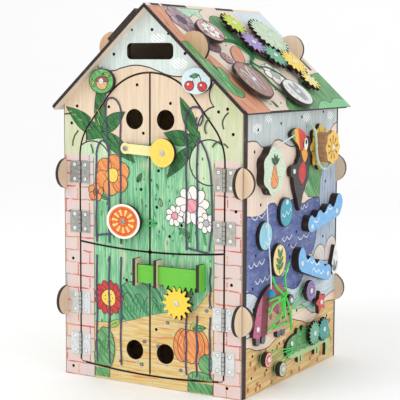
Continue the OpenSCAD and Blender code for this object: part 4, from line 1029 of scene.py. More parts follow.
piece("round_knob_a", "right", slice_art(-101, 48, (222, 96, 70), (200, 64, 52), (244, 216, 196), (150, 60, 44)))
piece("round_knob_b", "right", slice_art(-56, 24.5, (170, 180, 150), (140, 152, 124), (228, 228, 214), (70, 76, 66)))

for n, cu, cv, base, hi, rr in (
        ("gear_lime", 48.6, 8.1, (206, 222, 84), (184, 206, 56), 15), ("gear_purple", 90.4, 12.4, (172, 152, 208), (144, 122, 190), 15),
        ("gear_teal", 118.8, 43.4, (118, 186, 152), (88, 164, 130), 15), ("gear_yellow", 133.2, 86, (248, 222, 104), (242, 206, 74), 18),
        ("gear_small", 173.6, 82.7, (246, 234, 150), (240, 222, 116), 11), ("gear_big", 73.2, 88, (206, 222, 196), (182, 208, 176), 29)):
    piece(n, "roof", gear_art(cu, cv, base, hi, rr))


def roof_disc_art(cu, cv, a, b, base, hi, ink):
    def art(mat, u, v, w):
        du, dv = (u - cu) / a, (v - cv) / b
        r = op("SQRT", du * du + dv * dv)
        c = strokes(u, v, base, hi, 0.9)
        return mixc(c, ink, inside(r - 0.94, 0.03))
    return art


piece("roof_disc_pink", "roof", roof_disc_art(70, -91, 23, 29, (214, 176, 176), (186, 144, 148), (72, 52, 56)))
piece("roof_disc_brown", "roof", roof_disc_art(168, -92, 36, 34, (176, 138, 126), (140, 104, 96), (60, 42, 40)))
piece("roof_disc_grey", "roof", roof_disc_art(196, 6, 27, 33, (232, 234, 230), (206, 210, 208), (54, 54, 58)))


def left_board(mat, u, v, w):
    c = strokes(u, v, (206, 226, 214), (170, 206, 186), 1.2)
    edge = -118.0 - v + fsin(u * 0.1) * 8.0
    c = mixc(c, strokes(u, v, (226, 172, 140), (206, 138, 106), 0.2), inside(edge, 1.0))
    c = mixc(c, (96, 66, 54), line(edge, 1.3))
    for k in (-102.0, -88.0, -74.0):
        c = mixc(c, (52, 128, 84), line(v - k - fsin(u * 0.22) * 3.0, 1.6) * ramp(noise(u, v, 0.05, 0.05, 0.0, 0.5, k), 0.44, 0.5))
    return c


piece("roof_left_board", "roof_left", left_board)

piece("lace_disc", "right", flat((124, 110, 126), (90, 78, 94), 0.7))

mat = Mat("bead_lacquer")
n = noise3(mat.p, 300, 3)
mat.color(mixc((10, 118, 164), (24, 150, 188), ramp(n, 0.35, 0.65)))
mat.rough(op("MULTIPLY_ADD", n, 0.14, 0.14))
mat.bump(n, 0.06, 0.0002)
set_mat(mat, "pull_bead")

def zinc(name, hinge):
    mat = Mat(name)
    n = noise3(mat.p, 160, 3)
    sp = noise3(mat.p, 1500, 2)
    c = mixc((226, 229, 230), (240, 242, 243), ramp(n, 0.35, 0.65))
    if hinge:
        u, v, w = coords(mat, "front")
        # Painted shade: the upper hinges are painted darker than the lower ones on the same zinc, and the upper left
        # pair darkest.
        up = ramp(v, 180.0, 210.0) * ramp(u, 40.0, -40.0)
        c = mixc(mixc((206, 211, 210), (226, 230, 230), ramp(n, 0.35, 0.65)), mixc((150, 150, 145), (178, 179, 174), ramp(n, 0.35, 0.65)), up)
        c = mixc(c, mixc((168, 166, 156), (192, 190, 180), ramp(n, 0.35, 0.65)), ramp(v, 180.0, 210.0) * ramp(u, -40.0, 40.0))
        au = fabs(u) - 121.5
        barrel = inside(2.5 - fabs(au), 0.3)
        # Each screw head is painted white as a painted highlight. A dark dot in its centre and a darker ring round it
        # are painted shade.
        ring, head, seam = None, None, None
        for h in (304.0, 231.0, 110.0, 48.3):
            dv = fabs(v - h)
            du = fabs(au) - 9.5
            d = op("SQRT", du * du + (dv - 10.5) * (dv - 10.5))
            r, k = line(d - 3.1, 0.8, 0.3), inside(2.5 - d, 0.3)
            j = fmax(line(dv - 3.2, 0.8, 0.3), line(dv - 9.6, 0.8, 0.3)) * inside(17.0 - dv)
            ring = r if ring is None else fmax(ring, r)
            head = k if head is None else fmax(head, k)
            seam = j if seam is None else fmax(seam, j)
            c = mixc(c, (246, 247, 248), k)
            c = mixc(c, (60, 60, 62), inside(0.75 - d, 0.3))
        c = mixc(c, (120, 122, 120), clip(ring) * 0.7)
        # Painted highlight down the barrel. Painted crevice shade darkens the seams between its knuckles, and dark
        # lines run along both sides of it.
        c = mixc(c, (168, 170, 166), barrel * 0.7)
        c = mixc(c, (52, 50, 50), clip(seam) * barrel)
        c = mixc(c, (70, 68, 66), line(fabs(au) - 2.9, 1.0, 0.3))
    mat.color(c)
    mat.b.inputs["Metallic"].default_value = 0.7
    mat.rough(op("MULTIPLY_ADD", n, 0.14, op("MULTIPLY_ADD", sp, 0.08, 0.30)))
    mat.bump(op("MULTIPLY_ADD", n, 0.6, sp * 0.4), 0.04, 0.0002)
    return mat


set_mat(zinc("zinc_steel_hinge", True), "hinge_frame_leaves", "hinges_upper_left", "hinges_upper_right", "hinges_lower_left", "hinges_lower_right")
set_mat(zinc("zinc_steel", False), "root_screws")

# ------------------------------------------------------------------ drawn motifs: thin printed fills and ink lines
INKS = {"dkgreen": ((22, 78, 42), (70, 142, 72)), "green": (( 98, 178, 108), (60, 146, 82)), "orange": ((236, 168, 104), (220, 122, 62)), "yellow": ((248, 220, 112), (242, 200, 78)),
        "red": ((214, 74, 70), (186, 48, 52)), "white": ((248, 246, 240), (232, 228, 220)), "ink": ((48, 42, 46), (66, 58, 62)), "plum": ((66, 60, 84), (84, 78, 104)),
        "pink": ((236, 164, 172), (222, 134, 148)), "brown": ((164, 108, 78), (128, 80, 58)), "grey": ((196, 196, 198), (160, 162, 168)), "tan": ((226, 188, 140), (206, 160, 108)),
        "blue": ((124, 172, 214), (92, 144, 196)), "lime": ((186, 210, 110), (150, 186, 84)), "hole": ((30, 22, 20), (44, 32, 28)),
        "grass": ((118, 184, 134), (44, 122, 80)), "mint": ((204, 229, 208), (160, 208, 176)), "terra": ((222, 164, 134), (202, 132, 102)), "sky": ((196, 214, 224), (216, 228, 234)),
        "bush": ((132, 184, 124), (52, 124, 76)), "bushlt": ((150, 208, 160), (92, 176, 116)), "stone": ((224, 214, 206), (206, 198, 194)), "brick": ((196, 110, 70), (170, 82, 50)), "foam": ((242, 245, 250), (224, 230, 240)), "mauve": ((196, 168, 176), (150, 118, 132)), "rose": ((186, 112, 124), (154, 84, 98)), "umber": ((140, 106, 108), (100, 72, 76)), "moss": ((56, 74, 50), (74, 92, 64))}
INK_MAT = {}


def ink(name):
    if name not in INK_MAT:
        mat = Mat("crayon_" + name)
        a, b = INKS[name]
        n = noise3(mat.p, 700, 2)
        su, sv = (mat.x + mat.y) * 0.7 + mat.z * 0.6, mat.z * 0.7 - mat.x * 0.6 - mat.y * 0.6
        st = op("MULTIPLY_ADD", noise(su, sv, 0.30, 0.02, 2.0, 0.6, 1.0), 0.7, noise(su, sv, 1.0, 0.06, 2.0, 0.6, 4.0) * 0.3)
        mat.color(mixc(a, b, ramp(st, 0.40, 0.60)))
        mat.rough(op("MULTIPLY_ADD", n, 0.16, 0.42))
        mat.bump(n, 0.1, 0.0002)
        mat.b.inputs["Specular IOR Level"].default_value = 0.35
        INK_MAT[name] = mat.m
    return INK_MAT[name]


class Sheet:
    """Motifs on one body, drawn in its plane in mm, each layer a little further off the face."""

    def __init__(self, name, body, plane, base=0.0, slot_name=None):
        self.name, self.body, self.plane, self.base, self.slot = name, body, plane, base, slot_name
        self.vs, self.fs, self.mi, self.cols = [], [], [], []
        self.flip = plane in (on_left, on_back, on_roof, on_roof_left) and False
        self.k = 0

    def _col(self, c):
        if c not in self.cols:
            self.cols.append(c)
        return self.cols.index(c)

    def _w(self):
        return self.base + 0.10 + 0.012 * self.k

    def fill(self, pts, c, outline="ink", width=1.0):
        self.k += 1
        i0 = len(self.vs)
        self.vs += [self.plane((u, v, self._w())) for u, v in pts]
        self.fs.append(tuple(range(i0, i0 + len(pts))))
        self.mi.append(self._col(c))
        if outline:
            self.stroke(pts + pts[:2], outline, width)

    def stroke(self, pts, c="ink", width=1.0, taper=False):
        self.k += 1
        n = len(pts)
        i0 = len(self.vs)
        for i, (u, v) in enumerate(pts):
            a, b = pts[max(i - 1, 0)], pts[min(i + 1, n - 1)]
            du, dv = b[0] - a[0], b[1] - a[1]
            l = math.hypot(du, dv) or 1.0
            h = width / 2 * (math.sin(math.pi * (0.12 + 0.76 * i / (n - 1))) if taper else 1.0)
            for s in (1, -1):
                self.vs.append(self.plane((u - dv / l * h * s, v + du / l * h * s, self._w())))
        for i in range(n - 1):
            self.fs.append((i0 + 2 * i, i0 + 2 * i + 1, i0 + 2 * i + 3, i0 + 2 * i + 2))
            self.mi.append(self._col(c))

    def done(self):
        me = bpy.data.meshes.new(self.name)
        me.from_pydata([tuple(v) for v in self.vs], [], self.fs)
        for c in self.cols:
            me.materials.append(ink(c))
        me.polygons.foreach_set("material_index", self.mi)
        me.update()
        o = bpy.data.objects.new(self.name, me)
        scene.collection.objects.link(o)
        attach(o, self.body)
        return o

    # ---- motifs
    def leaf(self, u, v, length, width, deg, c="dkgreen", veins=3, bend=0.0):
        a = math.radians(deg)
        ca, sa = math.cos(a), math.sin(a)
        at = lambda t, w: (u + ca * t - sa * (w + bend * math.sin(math.pi * t / length / 1.6)), v + sa * t + ca * (w + bend * math.sin(math.pi * t / length / 1.6)))
        n = 12
        up = [at(length * i / n, width / 2 * math.sin(math.pi * (i / n) ** 0.8)) for i in range(n + 1)]
        dn = [at(length * i / n, -width / 2 * math.sin(math.pi * (i / n) ** 0.8)) for i in range(n - 1, 0, -1)]
        self.fill(up + dn, c, "ink", 0.9)
        self.stroke([at(length * i / n, 0) for i in range(n)], "ink", 0.8)
        for k in range(veins):
            t = length * (0.25 + 0.5 * k / max(veins, 1))
            for s in (1, -1):
                self.stroke([at(t, 0), at(t + length * 0.10, s * width * 0.26)], "ink", 0.5)

    def trimmed(self, u, v, length, width, deg, a, b, c="dkgreen"):
        """A leaf kept only on the left of the line from a to b."""
        q = math.radians(deg)
        at = lambda t, w: (u + math.cos(q) * t - math.sin(q) * w, v + math.sin(q) * t + math.cos(q) * w)
        n = 16
        pts = [at(length * i / n, width / 2 * math.sin(math.pi * (i / n) ** 0.8)) for i in range(n + 1)] + [at(length * i / n, -width / 2 * math.sin(math.pi * (i / n) ** 0.8)) for i in range(n - 1, 0, -1)]
        side = lambda p: (b[0] - a[0]) * (p[1] - a[1]) - (b[1] - a[1]) * (p[0] - a[0])
        out = []
        for i, p in enumerate(pts):
            o = pts[i - 1]
            if (side(p) > 0) != (side(o) > 0):
                t = side(o) / (side(o) - side(p))
                out.append((o[0] + (p[0] - o[0]) * t, o[1] + (p[1] - o[1]) * t))
            if side(p) > 0:
                out.append(p)
        self.fill(out, c, "ink", 0.9)
        mid = [m for m in (at(length * i / n, 0) for i in range(n)) if side(m) > 0]
        if len(mid) > 2:
            self.stroke(mid, "ink", 0.8)
            for k in (1, 2, 3):
                m = mid[len(mid) * k // 4]
                self.stroke([m, (m[0] + math.cos(q + 0.5) * length * 0.1, m[1] + math.sin(q + 0.5) * length * 0.1)], "lime", 0.9)

    def blob(self, u, v, ru, rv, c, n=36, wob=0.05, outline="ink", width=1.0, lobes=0, depth=0.0, top=None):
        pts = []
        for i in range(n):
            a = 2 * math.pi * i / n
            k = 1 + wob * math.sin(3 * a + u) + depth * abs(math.sin(lobes * a / 2))
            pts.append((u + ru * k * math.cos(a), v + rv * k * math.sin(a)))
        self.fill(pts, c, outline, width)

    def flower(self, u, v, r, petals, c, mid, deg=0.0, ratio=0.42):
        for k in range(petals):
            a = math.radians(deg) + 2 * math.pi * k / petals
            pc = (u + math.cos(a) * r * 0.62, v + math.sin(a) * r * 0.62)
            pts = []
            for i in range(16):
                t = 2 * math.pi * i / 16
                x, y = r * 0.42 * math.cos(t), r * ratio * 0.72 * math.sin(t)
                pts.append((pc[0] + math.cos(a) * x - math.sin(a) * y, pc[1] + math.sin(a) * x + math.cos(a) * y))
            self.fill(pts, c, "ink", 0.9)
        self.blob(u, v, r * 0.36, r * 0.36, mid)

    def stem(self, pts, c="green", width=2.2):
        self.stroke(pts, "ink", width + 1.2)
        self.stroke(pts, c, width)

    def mushroom(self, u, v, s, cap, spots="white"):
        self.fill([(u - s * 0.22, v), (u + s * 0.24, v), (u + s * 0.16, v + s * 0.3), (u + s * 0.15, v + s * 0.6), (u - s * 0.15, v + s * 0.6), (u - s * 0.17, v + s * 0.3)], "white")
        pts = [(u + s * 0.62 * math.cos(math.pi * i / 16), v + s * 0.5 + s * 0.52 * math.sin(math.pi * i / 16)) for i in range(17)]
        pts += [(u - s * 0.3, v + s * 0.42), (u + s * 0.3, v + s * 0.42)]
        self.fill(pts, cap)
        if spots:
            for du, dv, r in ((-0.3, 0.66, 0.09), (0.05, 0.8, 0.11), (0.32, 0.62, 0.08)):
                self.blob(u + s * du, v + s * dv, s * r, s * r, spots, 14, 0, None)

    def bars(self, xs, z0, z1):
        for x in xs:
            self.stroke([(x + 0.7 * math.sin(z0 * 0.07 + i * 0.9), z0 + (z1 - z0) * i / 14) for i in range(15)], "plum", 3.0)

    def arc(self, u, v, r, a0, a1, c="plum", width=2.6, grow=0.0):
        n = 22
        pts = []
        for i in range(n + 1):
            a = math.radians(a0 + (a1 - a0) * i / n)
            k = r * (1 + grow * i / n)
            pts.append((u + k * math.cos(a), v + k * math.sin(a)))
        self.stroke(pts, c, width)

    def dash(self, u, v, length, deg, c="dkgreen", width=1.2):
        a = math.radians(deg)
        self.stroke([(u + length * t * math.cos(a), v + length * t * math.sin(a)) for t in (0, 0.35, 0.7, 1)], c, width, True)

    def tuft(self, u, v, blades, c="dkgreen"):
        for du, top, lean in blades:
            self.fill([(u + du - 2.2, v), (u + du + 2.2, v), (u + du + lean * 0.5 + 1.2, v + top * 0.6), (u + du + lean, v + top), (u + du + lean * 0.4 - 1.4, v + top * 0.55)], c, "ink", 0.6)


# upper left door: long leaves, bars and an orange lily in place of the left-out figure
d = Sheet("motifs_door_ul", "door_ul", on_front, slot_name="door_print")
d.trimmed(-88, 360, 70, 24, 146, (-102.4, 375), (-113.2, 357))
d.trimmed(-87, 354, 104, 21, 87, (-70.8, 413), (-90.6, 388.5))
d.fill([(-109, 364), (-107.6, 351), (-98, 352.6), (-90, 354.4), (-80, 354.2), (-75, 357), (-76, 369), (-86, 372), (-98, 370)], "dkgreen", "ink", 0.9)
for u, v, l, w, a, b in ((-82, 364, 50, 22, 33, 3), (-84, 364, 73, 22, -38, 3)):
    d.leaf(u, v, l, w, a, "dkgreen", 4, b)
d.stroke([(-102, 345), (-98.8, 339), (-97.6, 332)], "moss", 2.2)
d.stem([(-72, 262), (-70, 276), (-66, 290)], "green", 2.4)
d.leaf(-72, 266, 22, 8, 150, "green", 2)
d.leaf(-71, 272, 20, 7, 40, "green", 2)
d.flower(-64, 302, 29, 6, "orange", "yellow", 20, 0.62)
d.flower(-93, 276, 13, 5, "orange", "brown", 10, 0.7)
d.leaf(-21, 294, 15, 6.5, 62, "dkgreen", 0)
for u, v, a in ((-13, 262, 100), (-30, 214, 78), (-22, 250, 84), (-40, 206, 98), (-14, 232, 70), (-66, 330, 96), (-84, 242, 80), (-62, 208, 92), (-30, 318, 86)):
    d.dash(u, v, 9, a)
d.bars((-92,), 203, 330)
d.bars((-70,), 203, 346)
d.bars((-49.6,), 203, 386)
d.stroke([(-92, 330), (-90, 340), (-86, 348.4), (-79.9, 352), (-73.6, 347), (-70.4, 338)], "plum", 2.8)
d.stroke([(-71.4, 352), (-73, 366), (-75, 384), (-75.4, 400), (-73.4, 408.6), (-68.6, 412.6), (-62, 413), (-55.4, 409.6), (-50.4, 402), (-48, 393), (-49.6, 384)], "plum", 2.8)
d.stroke([(-94, 212), (-82, 214.5), (-68, 216), (-50, 215.5)], "plum", 2.6)
d.done()

# upper right door
d = Sheet("motifs_door_ur", "door_ur", on_front, slot_name="door_print")
d.fill([(64, 366), (74, 371.6), (81, 369), (83, 361), (75, 352), (68, 341), (63, 345), (62, 356)], "dkgreen", "ink", 0.9)
for u, v, l, w, a, b in ((74, 362, 60, 19, 116, -2), (70, 356, 48, 22, 165, 3), (69, 348, 61, 19, 231, -3)):
    d.leaf(u, v, l, w, a, "dkgreen", 4, b)
d.stem([(66, 214), (68, 232), (70, 250)], "green", 2.2)
d.stem([(92, 212), (90, 222), (88, 232)], "green", 2.0)
d.leaf(67, 222, 22, 8, 150, "green", 2)
d.flower(70, 266, 27, 9, "white", "pink", 8, 0.40)
d.flower(42, 250, 15, 8, "white", "pink", 18, 0.42)
d.flower(93, 243, 14, 7, "white", "grey", 0, 0.46)
d.leaf(20, 262, 12, 6, 108, "bushlt", 0)
for u, v, a in ((13, 284, 80), (30, 300, 96), (24, 228, 118), (38, 222, 70), (16, 214, 100), (54, 214, 84), (30, 206, 96), (46, 280, 92), (60, 232, 66), (10, 246, 104)):
    d.dash(u, v, 8, a)
d.stroke([(97, 389), (92.4, 383), (90, 377), (90, 371.6), (92.6, 366.6)], "moss", 2.4)
d.stroke([(102.1, 348.5), (105, 352.6), (108.4, 355.2), (112.3, 356.3), (115.8, 355.6)], "moss", 2.4)
d.bars((61,), 203, 350)
d.bars((78.4,), 203, 358)
d.stroke([(61, 350), (60, 366), (58.6, 384), (60, 393), (64.4, 399), (71, 402.8), (78, 403), (84, 400), (87.4, 393), (86.4, 384.6), (82.6, 378.4), (78, 377.6), (75.6, 382), (77.6, 389)], "plum", 2.8)
d.stroke([(78.4, 362), (86, 353), (92.4, 341.6), (97, 328), (99.8, 313), (101.2, 296), (101.8, 280), (102.4, 258), (102.4, 238), (100, 222), (98, 204)], "plum", 2.8)
d.stroke([(60, 207), (72, 204.6), (86, 202.6), (98, 201.4)], "plum", 2.6)
d.done()

# lower left door: grass, sunflower and bush
d = Sheet("motifs_door_ll", "door_ll", on_front, slot_name="door_print")
d.fill([(-54, 91), (-55, 112), (-53, 130), (-48, 142), (-40, 148), (-28, 150), (-16, 149.4), (-2.2, 147), (-2.2, 102), (-20, 97), (-38, 92.5)], "grass", None)
for pts in ([(-55, 112), (-53, 130), (-48, 142), (-40, 148), (-28, 150), (-16, 149.4), (-2.2, 147)], [(-50, 118), (-44, 130), (-37, 134), (-31, 128), (-29, 118)], [(-29, 120), (-24, 131), (-17, 133), (-11, 126), (-9, 116)], [(-10, 120), (-6, 128), (-2.4, 130)]):
    d.stroke(pts, "ink", 1.1)
for k in range(9):
    d.stroke([(-50 + k * 5.4, 97 + (k % 3) * 4), (-49 + k * 5.4, 108 + (k % 2) * 6), (-48.4 + k * 5.4, 116 + (k % 3) * 5)], "dkgreen", 1.5, True)
d.stem([(-72, 62), (-70, 84), (-71, 106)], "lime", 3.4)
d.leaf(-71, 80, 24, 10, 26, "lime", 2)
d.flower(-71, 122, 25, 13, "red", "yellow", 0, 0.34)
d.blob(-71, 122, 12.5, 12.5, "yellow")
for i in range(7):
    a = i * 0.9
    d.blob(-71 + 6.4 * math.cos(a), 122 + 6.4 * math.sin(a), 1.0, 1.0, "brown", 8, 0, None)
d.fill([(-96, 20.4), (-97, 34), (-95, 54), (-90, 70), (-82, 78), (-73, 77), (-65, 68), (-61, 54), (-61, 40), (-64, 28), (-68, 19.6), (-80, 20)], "bush")
for k in range(5):
    d.stroke([(-88 + k * 4.4, 32 + k * 2), (-86 + k * 4.2, 48 + (k % 3) * 5), (-84 + k * 4.0, 64 - abs(k - 2) * 5)], "dkgreen", 1.6, True)
d.blob(-9, 64, 2.6, 1.8, "blue", 14)
d.blob(-14, 30, 2.6, 2.0, "blue", 14)
d.blob(-50, 30, 2.4, 1.7, "brown", 14)
d.bars((-92, -70, -49.6), 24, 184)
d.done()

# lower right door: pumpkin, bush and grass
d = Sheet("motifs_door_lr", "door_lr", on_front, slot_name="door_print")
d.fill([(2.2, 104), (2.2, 146.4), (10, 144), (17, 137), (21, 128), (23, 116), (22, 109), (12, 106)], "grass", None)
for pts in ([(2.2, 146.4), (10, 144), (17, 137), (21, 128), (23, 116)], [(2.4, 129), (7, 131), (11, 126), (13, 116)]):
    d.stroke(pts, "ink", 1.1)
for k in range(4):
    d.stroke([(4 + k * 4.6, 109 + (k % 2) * 2), (5 + k * 4.5, 116 + (k % 2) * 5), (5.6 + k * 4.4, 124 - k * 2)], "dkgreen", 1.5, True)
d.stem([(69, 88), (70, 96), (75, 101)], "lime", 3.4)
for du, ru in ((-15, 14), (15, 14), (-8, 14), (8, 14), (0, 12)):
    d.blob(69 + du, 66, ru, 24, "orange", 30, 0.02)
for du in (-18, -10, 10, 18):
    d.stroke([(69 + du * 0.6, 50), (69 + du * 1.1, 66), (69 + du * 0.6, 84)], "red", 1.0, True)
d.leaf(72, 92, 22, 9, 10, "green", 2)
d.blob(93, 44, 11, 14, "bush")
d.fill([(64 + 40 * (0.5 - 0.5 * math.cos(math.pi * i / 16)), 19.6 + 12 * math.sin(math.pi * i / 16) ** 0.7) for i in range(17)], "bush")
for k in range(5):
    d.stroke([(71 + k * 6, 20.4), (71.6 + k * 6, 24), (72 + k * 6, 27.6 - abs(k - 2) * 0.8)], "dkgreen", 1.5, True)
for u, v in ((100, 126), (94, 120), (14, 60), (52, 30), (30, 96)):
    d.blob(u, v, 2.4, 1.8, "blue", 14)
d.bars((61, 78.4, 99.6), 24, 112)
d.bars((99.6,), 128, 182)
d.done()

# front wall: leaves beside the arch and a low bush
d = Sheet("motifs_front", "house", on_front, slot_name="printed_ply")
d.trimmed(-88, 360, 70, 24, 146, (-117, 357), (-106.2, 375))
d.trimmed(-87, 354, 104, 21, 87, (-93.8, 391.5), (-73.6, 416.5))
d.stroke([(-124, 364.4), (-130.6, 357), (-133.8, 349), (-134.6, 341.5)], "moss", 2.4)
d.stroke([(126.8, 396.5), (121.4, 391.6), (118, 386), (117.2, 380.6), (119.4, 373.5)], "moss", 2.4)
d.stroke([(119, 354.2), (123, 351.8), (126.4, 348.6)], "moss", 2.4)
for x0, x1, y0 in ((-96, -70, 3), (64, 104, 1.2)):
    d.fill([(x0, y0), (x0, 16.4), (x1, 15.4), (x1, y0)], "bush", None)
    d.stroke([(x0, 16.4), (x0, y0)], "ink", 1.0)
    d.stroke([(x1, 15.4), (x1, y0)], "ink", 1.0)
d.done()

# gable pieces: an acorn and a pair of cherries
d = Sheet("motif_gable_left", "house", on_front, 6.0)
d.blob(-78, 433.5, 9.5, 9.5, "tan", 30, 0.02)
d.fill([(-78 + 11.5 * math.cos(math.pi * i / 14), 436 + 7.6 * math.sin(math.pi * i / 14)) for i in range(15)], "brown")
d.stroke([(-78, 443), (-77, 446.4), (-74.5, 448.6)], "ink", 1.6)
d.leaf(-75, 447, 13, 6, -14, "lime", 1)
d.leaf(-91, 428, 13, 6, 110, "lime", 1)
d.done()
d = Sheet("motif_gable_right", "house", on_front, 6.0)
d.stroke([(70, 434), (76, 442), (83, 447.5)], "ink", 1.3)
d.stroke([(88, 432), (86, 441), (83, 447.5)], "ink", 1.3)
d.blob(68, 432, 7.5, 6.6, "red", 26, 0.02)
d.blob(88.5, 431, 7.5, 6.6, "red", 26, 0.02)
d.leaf(83, 446.5, 15, 6, 188, "green", 1)
d.blob(66, 434, 1.6, 1.4, "white", 12, 0, None)
d.blob(86.5, 433, 1.6, 1.4, "white", 12, 0, None)
d.done()

# right wall: hills, green bank, foam marks and spots in the sand
d = Sheet("motifs_right", "house", on_right, slot_name="printed_ply")
d.fill([(54, 317), (52, 304), (47, 282), (36, 275), (51, 264), (70, 262), (88, 261), (92, 278), (96, 301), (97, 318)], "bush", "ink", 1.2)
for k in range(6):
    d.stroke([(56 + k * 6, 270), (57 + k * 6.2, 290), (57 + k * 6.4, 308 - (k % 2) * 6)], "dkgreen", 1.4, True)
d.fill([(112, 158), (113, 178), (118, 186), (127, 193), (139, 196), (149, 190), (154, 180), (154, 158)], "stone", "ink", 1.2)
d.fill([(67, 160), (72, 174), (80, 182), (92, 187), (103, 185), (112, 178), (114, 160)], "stone", "ink", 1.2)
d.fill([(46, 160), (50, 173), (57, 178), (66, 175), (74, 168), (78, 158)], "stone", "ink", 1.2)
for u, v, w, n in ((-130, 252, 40, 2), (-138, 186, 48, 3), (-118, 161, 44, 3), (-36, 211, 32, 2), (16, 207, 40, 2), (-8, 197, 20, 1), (24, 252, 26, 2), (-40, 162, 26, 2)):
    pts = []
    for i in range(n * 8 + 1):
        t = i / (n * 8)
        pts.append((u + w * t, v + 1.0 - 6.0 * abs(math.sin(math.pi * n * t)) + 2.0 * t))
    d.stroke(pts, "foam", 1.3)
for u, v in ((-26, 58), (-48, 54), (-116, 36), (-86, 22), (-109, 13), (-101, 8), (-113, 6), (-137, 11), (-64, 6), (1, 6), (27, 6), (91, 6), (71, 19), (101, 15), (64, 14), (-84, 56), (-130, 46), (140, 30), (134, 60), (0, 76)):
    d.blob(u, v, 2.6, 3.6, "brick", 16, 0.06, None)
d.done()

# right wall pieces
d = Sheet("motif_tile", "house", on_right, 12.0)
d.fill([(-85 + (11 + 3.5 * math.sin(-a + 1.57 * 0)) * math.cos(a) * (1.0 if math.sin(a) < 0 else 0.72), 306 + 17 * math.sin(a)) for a in [2 * math.pi * i / 32 for i in range(32)]], "orange")
for k in range(6):
    d.stroke([(-93 + k * 3.2, 297 + (k % 2) * 4), (-92.4 + k * 3.2, 299 + (k % 2) * 4)], "brown", 1.0)
d.stroke([(-85, 322), (-84, 328), (-82, 332)], "ink", 1.6)
for a in (30, 62, 100, 140):
    d.leaf(-84, 323, 15, 6, a, "dkgreen", 1)
d.done()
d = Sheet("motif_board", "house", on_right, 6.0)
for pts in ([(-74.9, 114.7), (-66, 117.6), (-58.7, 120), (-55.4, 114), (-55, 104.6), (-62, 107.4), (-68.9, 110.6)], [(-73.6, 92.4), (-64.6, 95.4), (-53.4, 97.2), (-51.6, 93), (-56.6, 91.6), (-65, 91.8)], [(-86.3, 106), (-79.6, 109.6), (-76.4, 106), (-78, 102), (-83, 101.6)]):
    d.fill(pts, "rose", "ink", 1.1)
for u, v in ((-40, 114), (-27.4, 106.5), (-36, 96.6)):
    d.stroke([(u - 4, v), (u, v + 0.8), (u + 4, v - 0.4)], "ink", 2.0, True)
d.done()
d = Sheet("motif_oval_yellow", "swing_c", on_right, 6.0)
d.stem([(-55, 164), (-54, 178), (-53, 192)], "green", 1.4)
for u, v, a in ((-54, 170, 35), (-54, 170, 145), (-54, 178, 40), (-54, 178, 140), (-53, 187, 60), (-53, 187, 120)):
    d.leaf(u, v, 14, 6, a, "green", 1)
d.done()
d = Sheet("motif_oval_white", "swing_d", on_right, 7.0)
for u, v, l, a in ((136, 140, 20, 100), (138, 141, 16, 66), (134, 141, 14, 132)):
    d.leaf(u, v, l, 5, a, "grey", 1)
d.done()

# roof: broad drawn regions on the right panel
def rounded(pts, n=5):
    """Closed smooth outline through points."""
    out = []
    m = len(pts)
    for i in range(m):
        p0, p1, p2, p3 = (pts[(i + k - 1) % m] for k in range(4))
        for k in range(n):
            t = k / n
            out.append(tuple(0.5 * (2 * p1[j] + (p2[j] - p0[j]) * t + (2 * p0[j] - 5 * p1[j] + 4 * p2[j] - p3[j]) * t * t + (3 * p1[j] - p0[j] - 3 * p2[j] + p3[j]) * t ** 3) for j in range(2)))
    return [(min(max(a, 7.0), 222.5), min(max(b, -169.4), 170.0)) for a, b in out]


d = Sheet("motifs_roof", "house", on_roof, slot_name="roof_print")
d.fill(rounded([(5, -128), (5, -70), (5, -19), (13, -37), (28, -45), (20, -62), (27, -82), (30, -132), (16, -131)]), "mint", "ink", 1.0)
d.fill(rounded([(4, 75), (4, 120), (4, 172), (36, 172), (69, 171), (90, 150), (84, 129), (60, 100), (28, 74)]), "sky", None)
d.fill(rounded([(5, -170), (5, -128), (13, -130), (38, -142), (55, -145), (76, -147), (92, -158), (92, -170)]), "terra", "ink", 1.0)
d.fill(rounded([(100, -170), (100, -141), (104, -128), (118, -120), (134, -116), (158, -110), (186, -107), (204, -102), (224, -104), (224, -136), (224, -170), (160, -170)]), "terra", "ink", 1.0)
d.fill(rounded([(83, -170), (82, -143), (96, -140), (112, -146), (130, -142), (134, -127), (147, -126), (161, -134), (182, -127), (192, -140), (190, -154), (178, -166), (170, -170), (120, -170)]), "bush", "ink", 1.1)
d.fill(rounded([(27, -24), (20, -6), (24, 15), (37, 20), (73, 16), (104, 27), (114, 39), (118, 26), (114, 8), (100, -12), (74, -22), (45, -37)]), "bush", "ink", 1.1)
d.fill(rounded([(158, 82), (162, 100), (152, 124), (148, 148), (146, 164), (150, 171), (190, 171), (223, 171), (223, 60), (223, -20), (219, -42), (202, -26), (189, 10), (173, 58)]), "bush", "ink", 1.1)
d.fill(rounded([(223, 54), (214, 66), (208, 80), (206, 96), (212, 110), (205, 128), (203, 150), (208, 171), (223, 171), (223, 110)]), "bushlt", "ink", 1.0)
for a, b in ((94, -156), (118, -158), (150, -142), (168, -150), (60, -4), (92, 8)):
    d.blob(a, b, 2.6, 2.2, "bushlt", 14, 0, None)
for a, b, l in ((170, 90, 30), (176, 120, 26), (186, 60, 26), (196, 20, 18), (160, 140, 22), (182, 150, 18), (200, 100, 10), (108, -156, 16), (140, -154, 24), (164, -158, 18)):
    d.stroke([(a, b), (a + l * 0.5, b + 1.5), (a + l, b + 0.5)], "dkgreen", 1.6, True)
for p in ([(40, -164), (60, -160), (74, -160)], [(18, -154), (34, -156), (48, -162)], [(176, -146), (196, -132), (212, -128)], [(198, -156), (210, -150), (219, -146)], [(150, -118), (172, -120), (190, -116)]):
    d.stroke(p, "brown", 0.9)
for p in ([(12, -112), (22, -116)], [(10, -96), (24, -92)], [(10, -70), (18, -64)], [(14, -52), (20, -54)]):
    d.stroke(p, "dkgreen", 0.8)
d.stroke([(116, 158), (139, 156)], "ink", 1.6)
d.stroke([(115, -140), (138, -141)], "ink", 1.6)
d.leaf(214, -72, 12, 5, 160, "dkgreen", 0)
